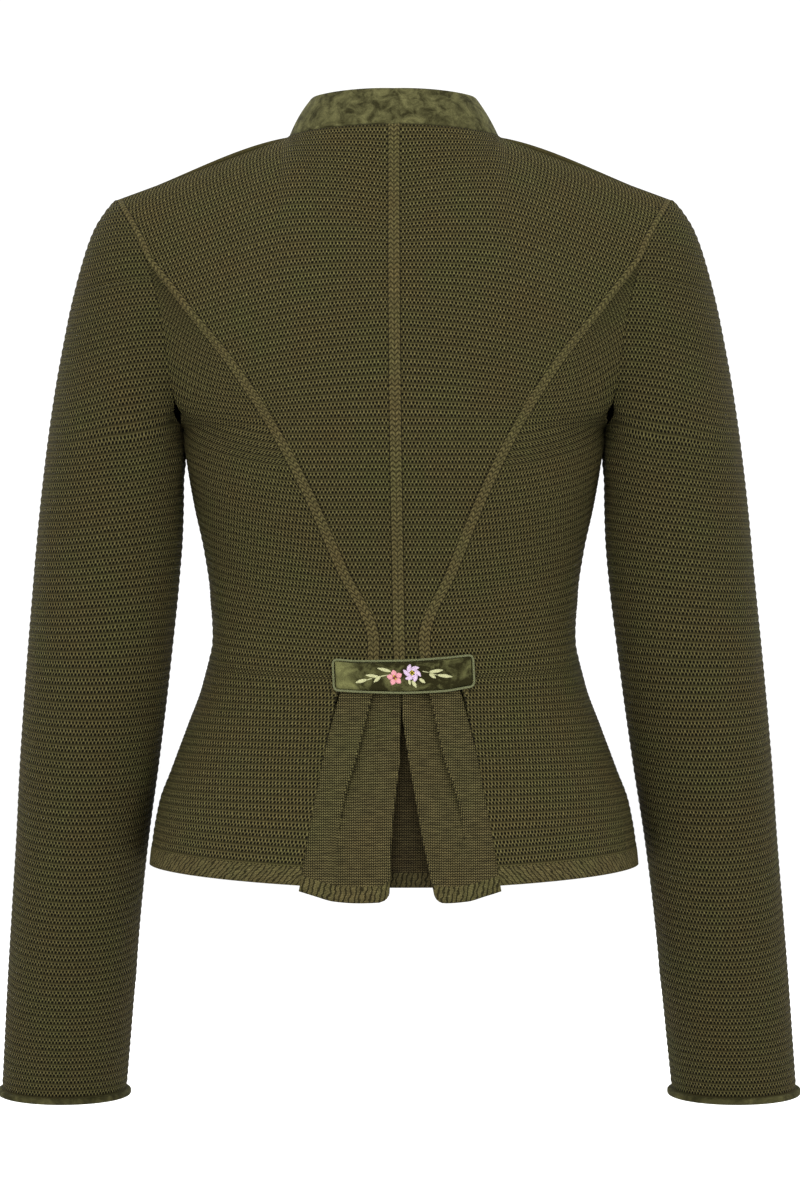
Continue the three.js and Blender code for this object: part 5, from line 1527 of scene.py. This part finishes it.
# %% Buttons
BUTTON_RADIUS, BUTTON_HEIGHT, BUTTON_COUNT = 7.5, 3.6, 7
BUTTON_ROWS = np.linspace(-494.0, -113.0, BUTTON_COUNT)
bpy.ops.object.select_all(action="DESELECT")
bpy.ops.mesh.primitive_cylinder_add(vertices=40, radius=BUTTON_RADIUS * MM, depth=BUTTON_HEIGHT * MM)
button = bpy.context.object


def select_faces(top):
    """Select the faces that look up, or down, at the button's middle."""
    bpy.ops.object.mode_set(mode="OBJECT")
    for face in button.data.polygons:
        looks = face.normal.z > 0.9 if top else face.normal.z < -0.9
        face.select = looks and face.center.xy.length < 0.5 * MM
    bpy.ops.object.mode_set(mode="EDIT")


# %% Rim and dome
bpy.ops.object.mode_set(mode="EDIT")
bpy.ops.mesh.select_mode(type="FACE")
RIM_AND_DOME = ((1.4, 0), (0.7, -0.7), (2.2, 0.35), (1.6, 0.25))  # inset and lift, in mm
BACK_HOLLOW = ((2.5, 0), (0.5, -0.4))
for top, steps in ((True, RIM_AND_DOME), (False, BACK_HOLLOW)):
    select_faces(top)
    for inset, lift in steps:
        bpy.ops.mesh.inset(thickness=inset * MM, depth=lift * MM)
bpy.ops.object.mode_set(mode="OBJECT")
bevel = button.modifiers.new("soft rims", "BEVEL")
bevel.width, bevel.segments, bevel.limit_method, bevel.angle_limit = 0.4 * MM, 3, "ANGLE", math.radians(35)
bpy.ops.object.modifier_apply(modifier=bevel.name)
bpy.ops.object.shade_smooth_by_angle(angle=math.radians(40))

horn, tree, shader = new_material("polished horn", 0.28, 0.0, specular=0.5)
place = node(tree, "ShaderNodeTexCoord").outputs["Object"]
veins = node(tree, "ShaderNodeTexNoise", {
    "Vector": place, "Scale": 160.0, "Detail": 3.0, "Distortion": 1.5,
}).outputs[0]
veins_share = node(tree, "ShaderNodeMapRange", {0: veins, 1: 0.35, 2: 0.7}).outputs[0]
colour = blend_colour(tree, veins_share, srgb(38, 33, 18), srgb(78, 68, 40))
finish_material(tree, shader, colour, veins, 0.0001)
button.data.materials.append(horn)

for number, row in enumerate(BUTTON_ROWS[::-1], 1):
    cloth = front_point(0.0, row)
    out = normal_at(front_point, np.array(0.0), np.array(row))
    turn = Vector(out).to_track_quat("Z", "Y").to_matrix().to_4x4()
    turn.translation = [v * MM for v in cloth + out * (OVERLAP_LIFT + SEAM_GAP + BUTTON_HEIGHT / 2)]
    mesh = button.data.copy()
    mesh.transform(turn)
    copy = bpy.data.objects.new(f"button_{number}_horn", mesh)
    bpy.context.scene.collection.objects.link(copy)
    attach(copy, "root")
    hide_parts(f"button_{number}")
bpy.data.objects.remove(button)
print("buttons:", BUTTON_COUNT, "faces each:", len(mesh.polygons))

# %% [markdown]
# ## Light and floor
# Clothing is shot on white in even, soft light: two large lights beside the camera, one from above, two on
# the far side for the front, and a bright surround. A pale floor lies below the hanging sleeves.

# %% Floor, lights and surround
FLOOR_Z = -0.78
bpy.ops.object.select_all(action="DESELECT")
bpy.ops.mesh.primitive_circle_add(vertices=96, radius=14, fill_type="NGON", location=(0, 0, FLOOR_Z))
floor = bpy.context.object
floor.name = "floor"
bpy.ops.object.transform_apply(location=True)
paper, tree, shader = new_material("paper floor", 0.9, specular=0.1)
place = node(tree, "ShaderNodeTexCoord").outputs["Object"]
grain = node(tree, "ShaderNodeTexNoise", {"Vector": place, "Scale": 300.0}).outputs[0]
colour = blend_colour(tree, grain, (0.9, 0.9, 0.9, 1), (0.93, 0.93, 0.93, 1))
finish_material(tree, shader, colour, grain, 0.0001)
floor.data.materials.append(paper)

LIGHTS = (  # name, place, size, power
    ("key", (1.6, 3.2, 1.4), 2.2, 62.0),
    ("fill", (-2.4, 2.8, 0.4), 2.4, 38.0),
    ("top", (0.0, 0.6, 2.6), 2.4, 42.0),
    ("front left", (2.2, -2.8, 1.2), 2.2, 46.0),
    ("front right", (-2.2, -2.6, 0.6), 2.2, 34.0),
)
AIM = Vector((0, 0, -0.3))
for name, place, size, power in LIGHTS:
    data = bpy.data.lights.new(name, "AREA")
    data.shape, data.size, data.energy = "DISK", size, power
    light = bpy.data.objects.new(name, data)
    light.location = place
    light.rotation_euler = (AIM - Vector(place)).to_track_quat("-Z", "Y").to_euler()
    bpy.context.scene.collection.objects.link(light)
world = bpy.data.worlds.new("white studio")
world.use_nodes = True
world.node_tree.nodes["Background"].inputs[0].default_value = (1.0, 1.0, 1.0, 1)
world.node_tree.nodes["Background"].inputs[1].default_value = 1.1
bpy.context.scene.world = world
bpy.context.scene.view_settings.view_transform = "Standard"
print("lights:", len(LIGHTS))
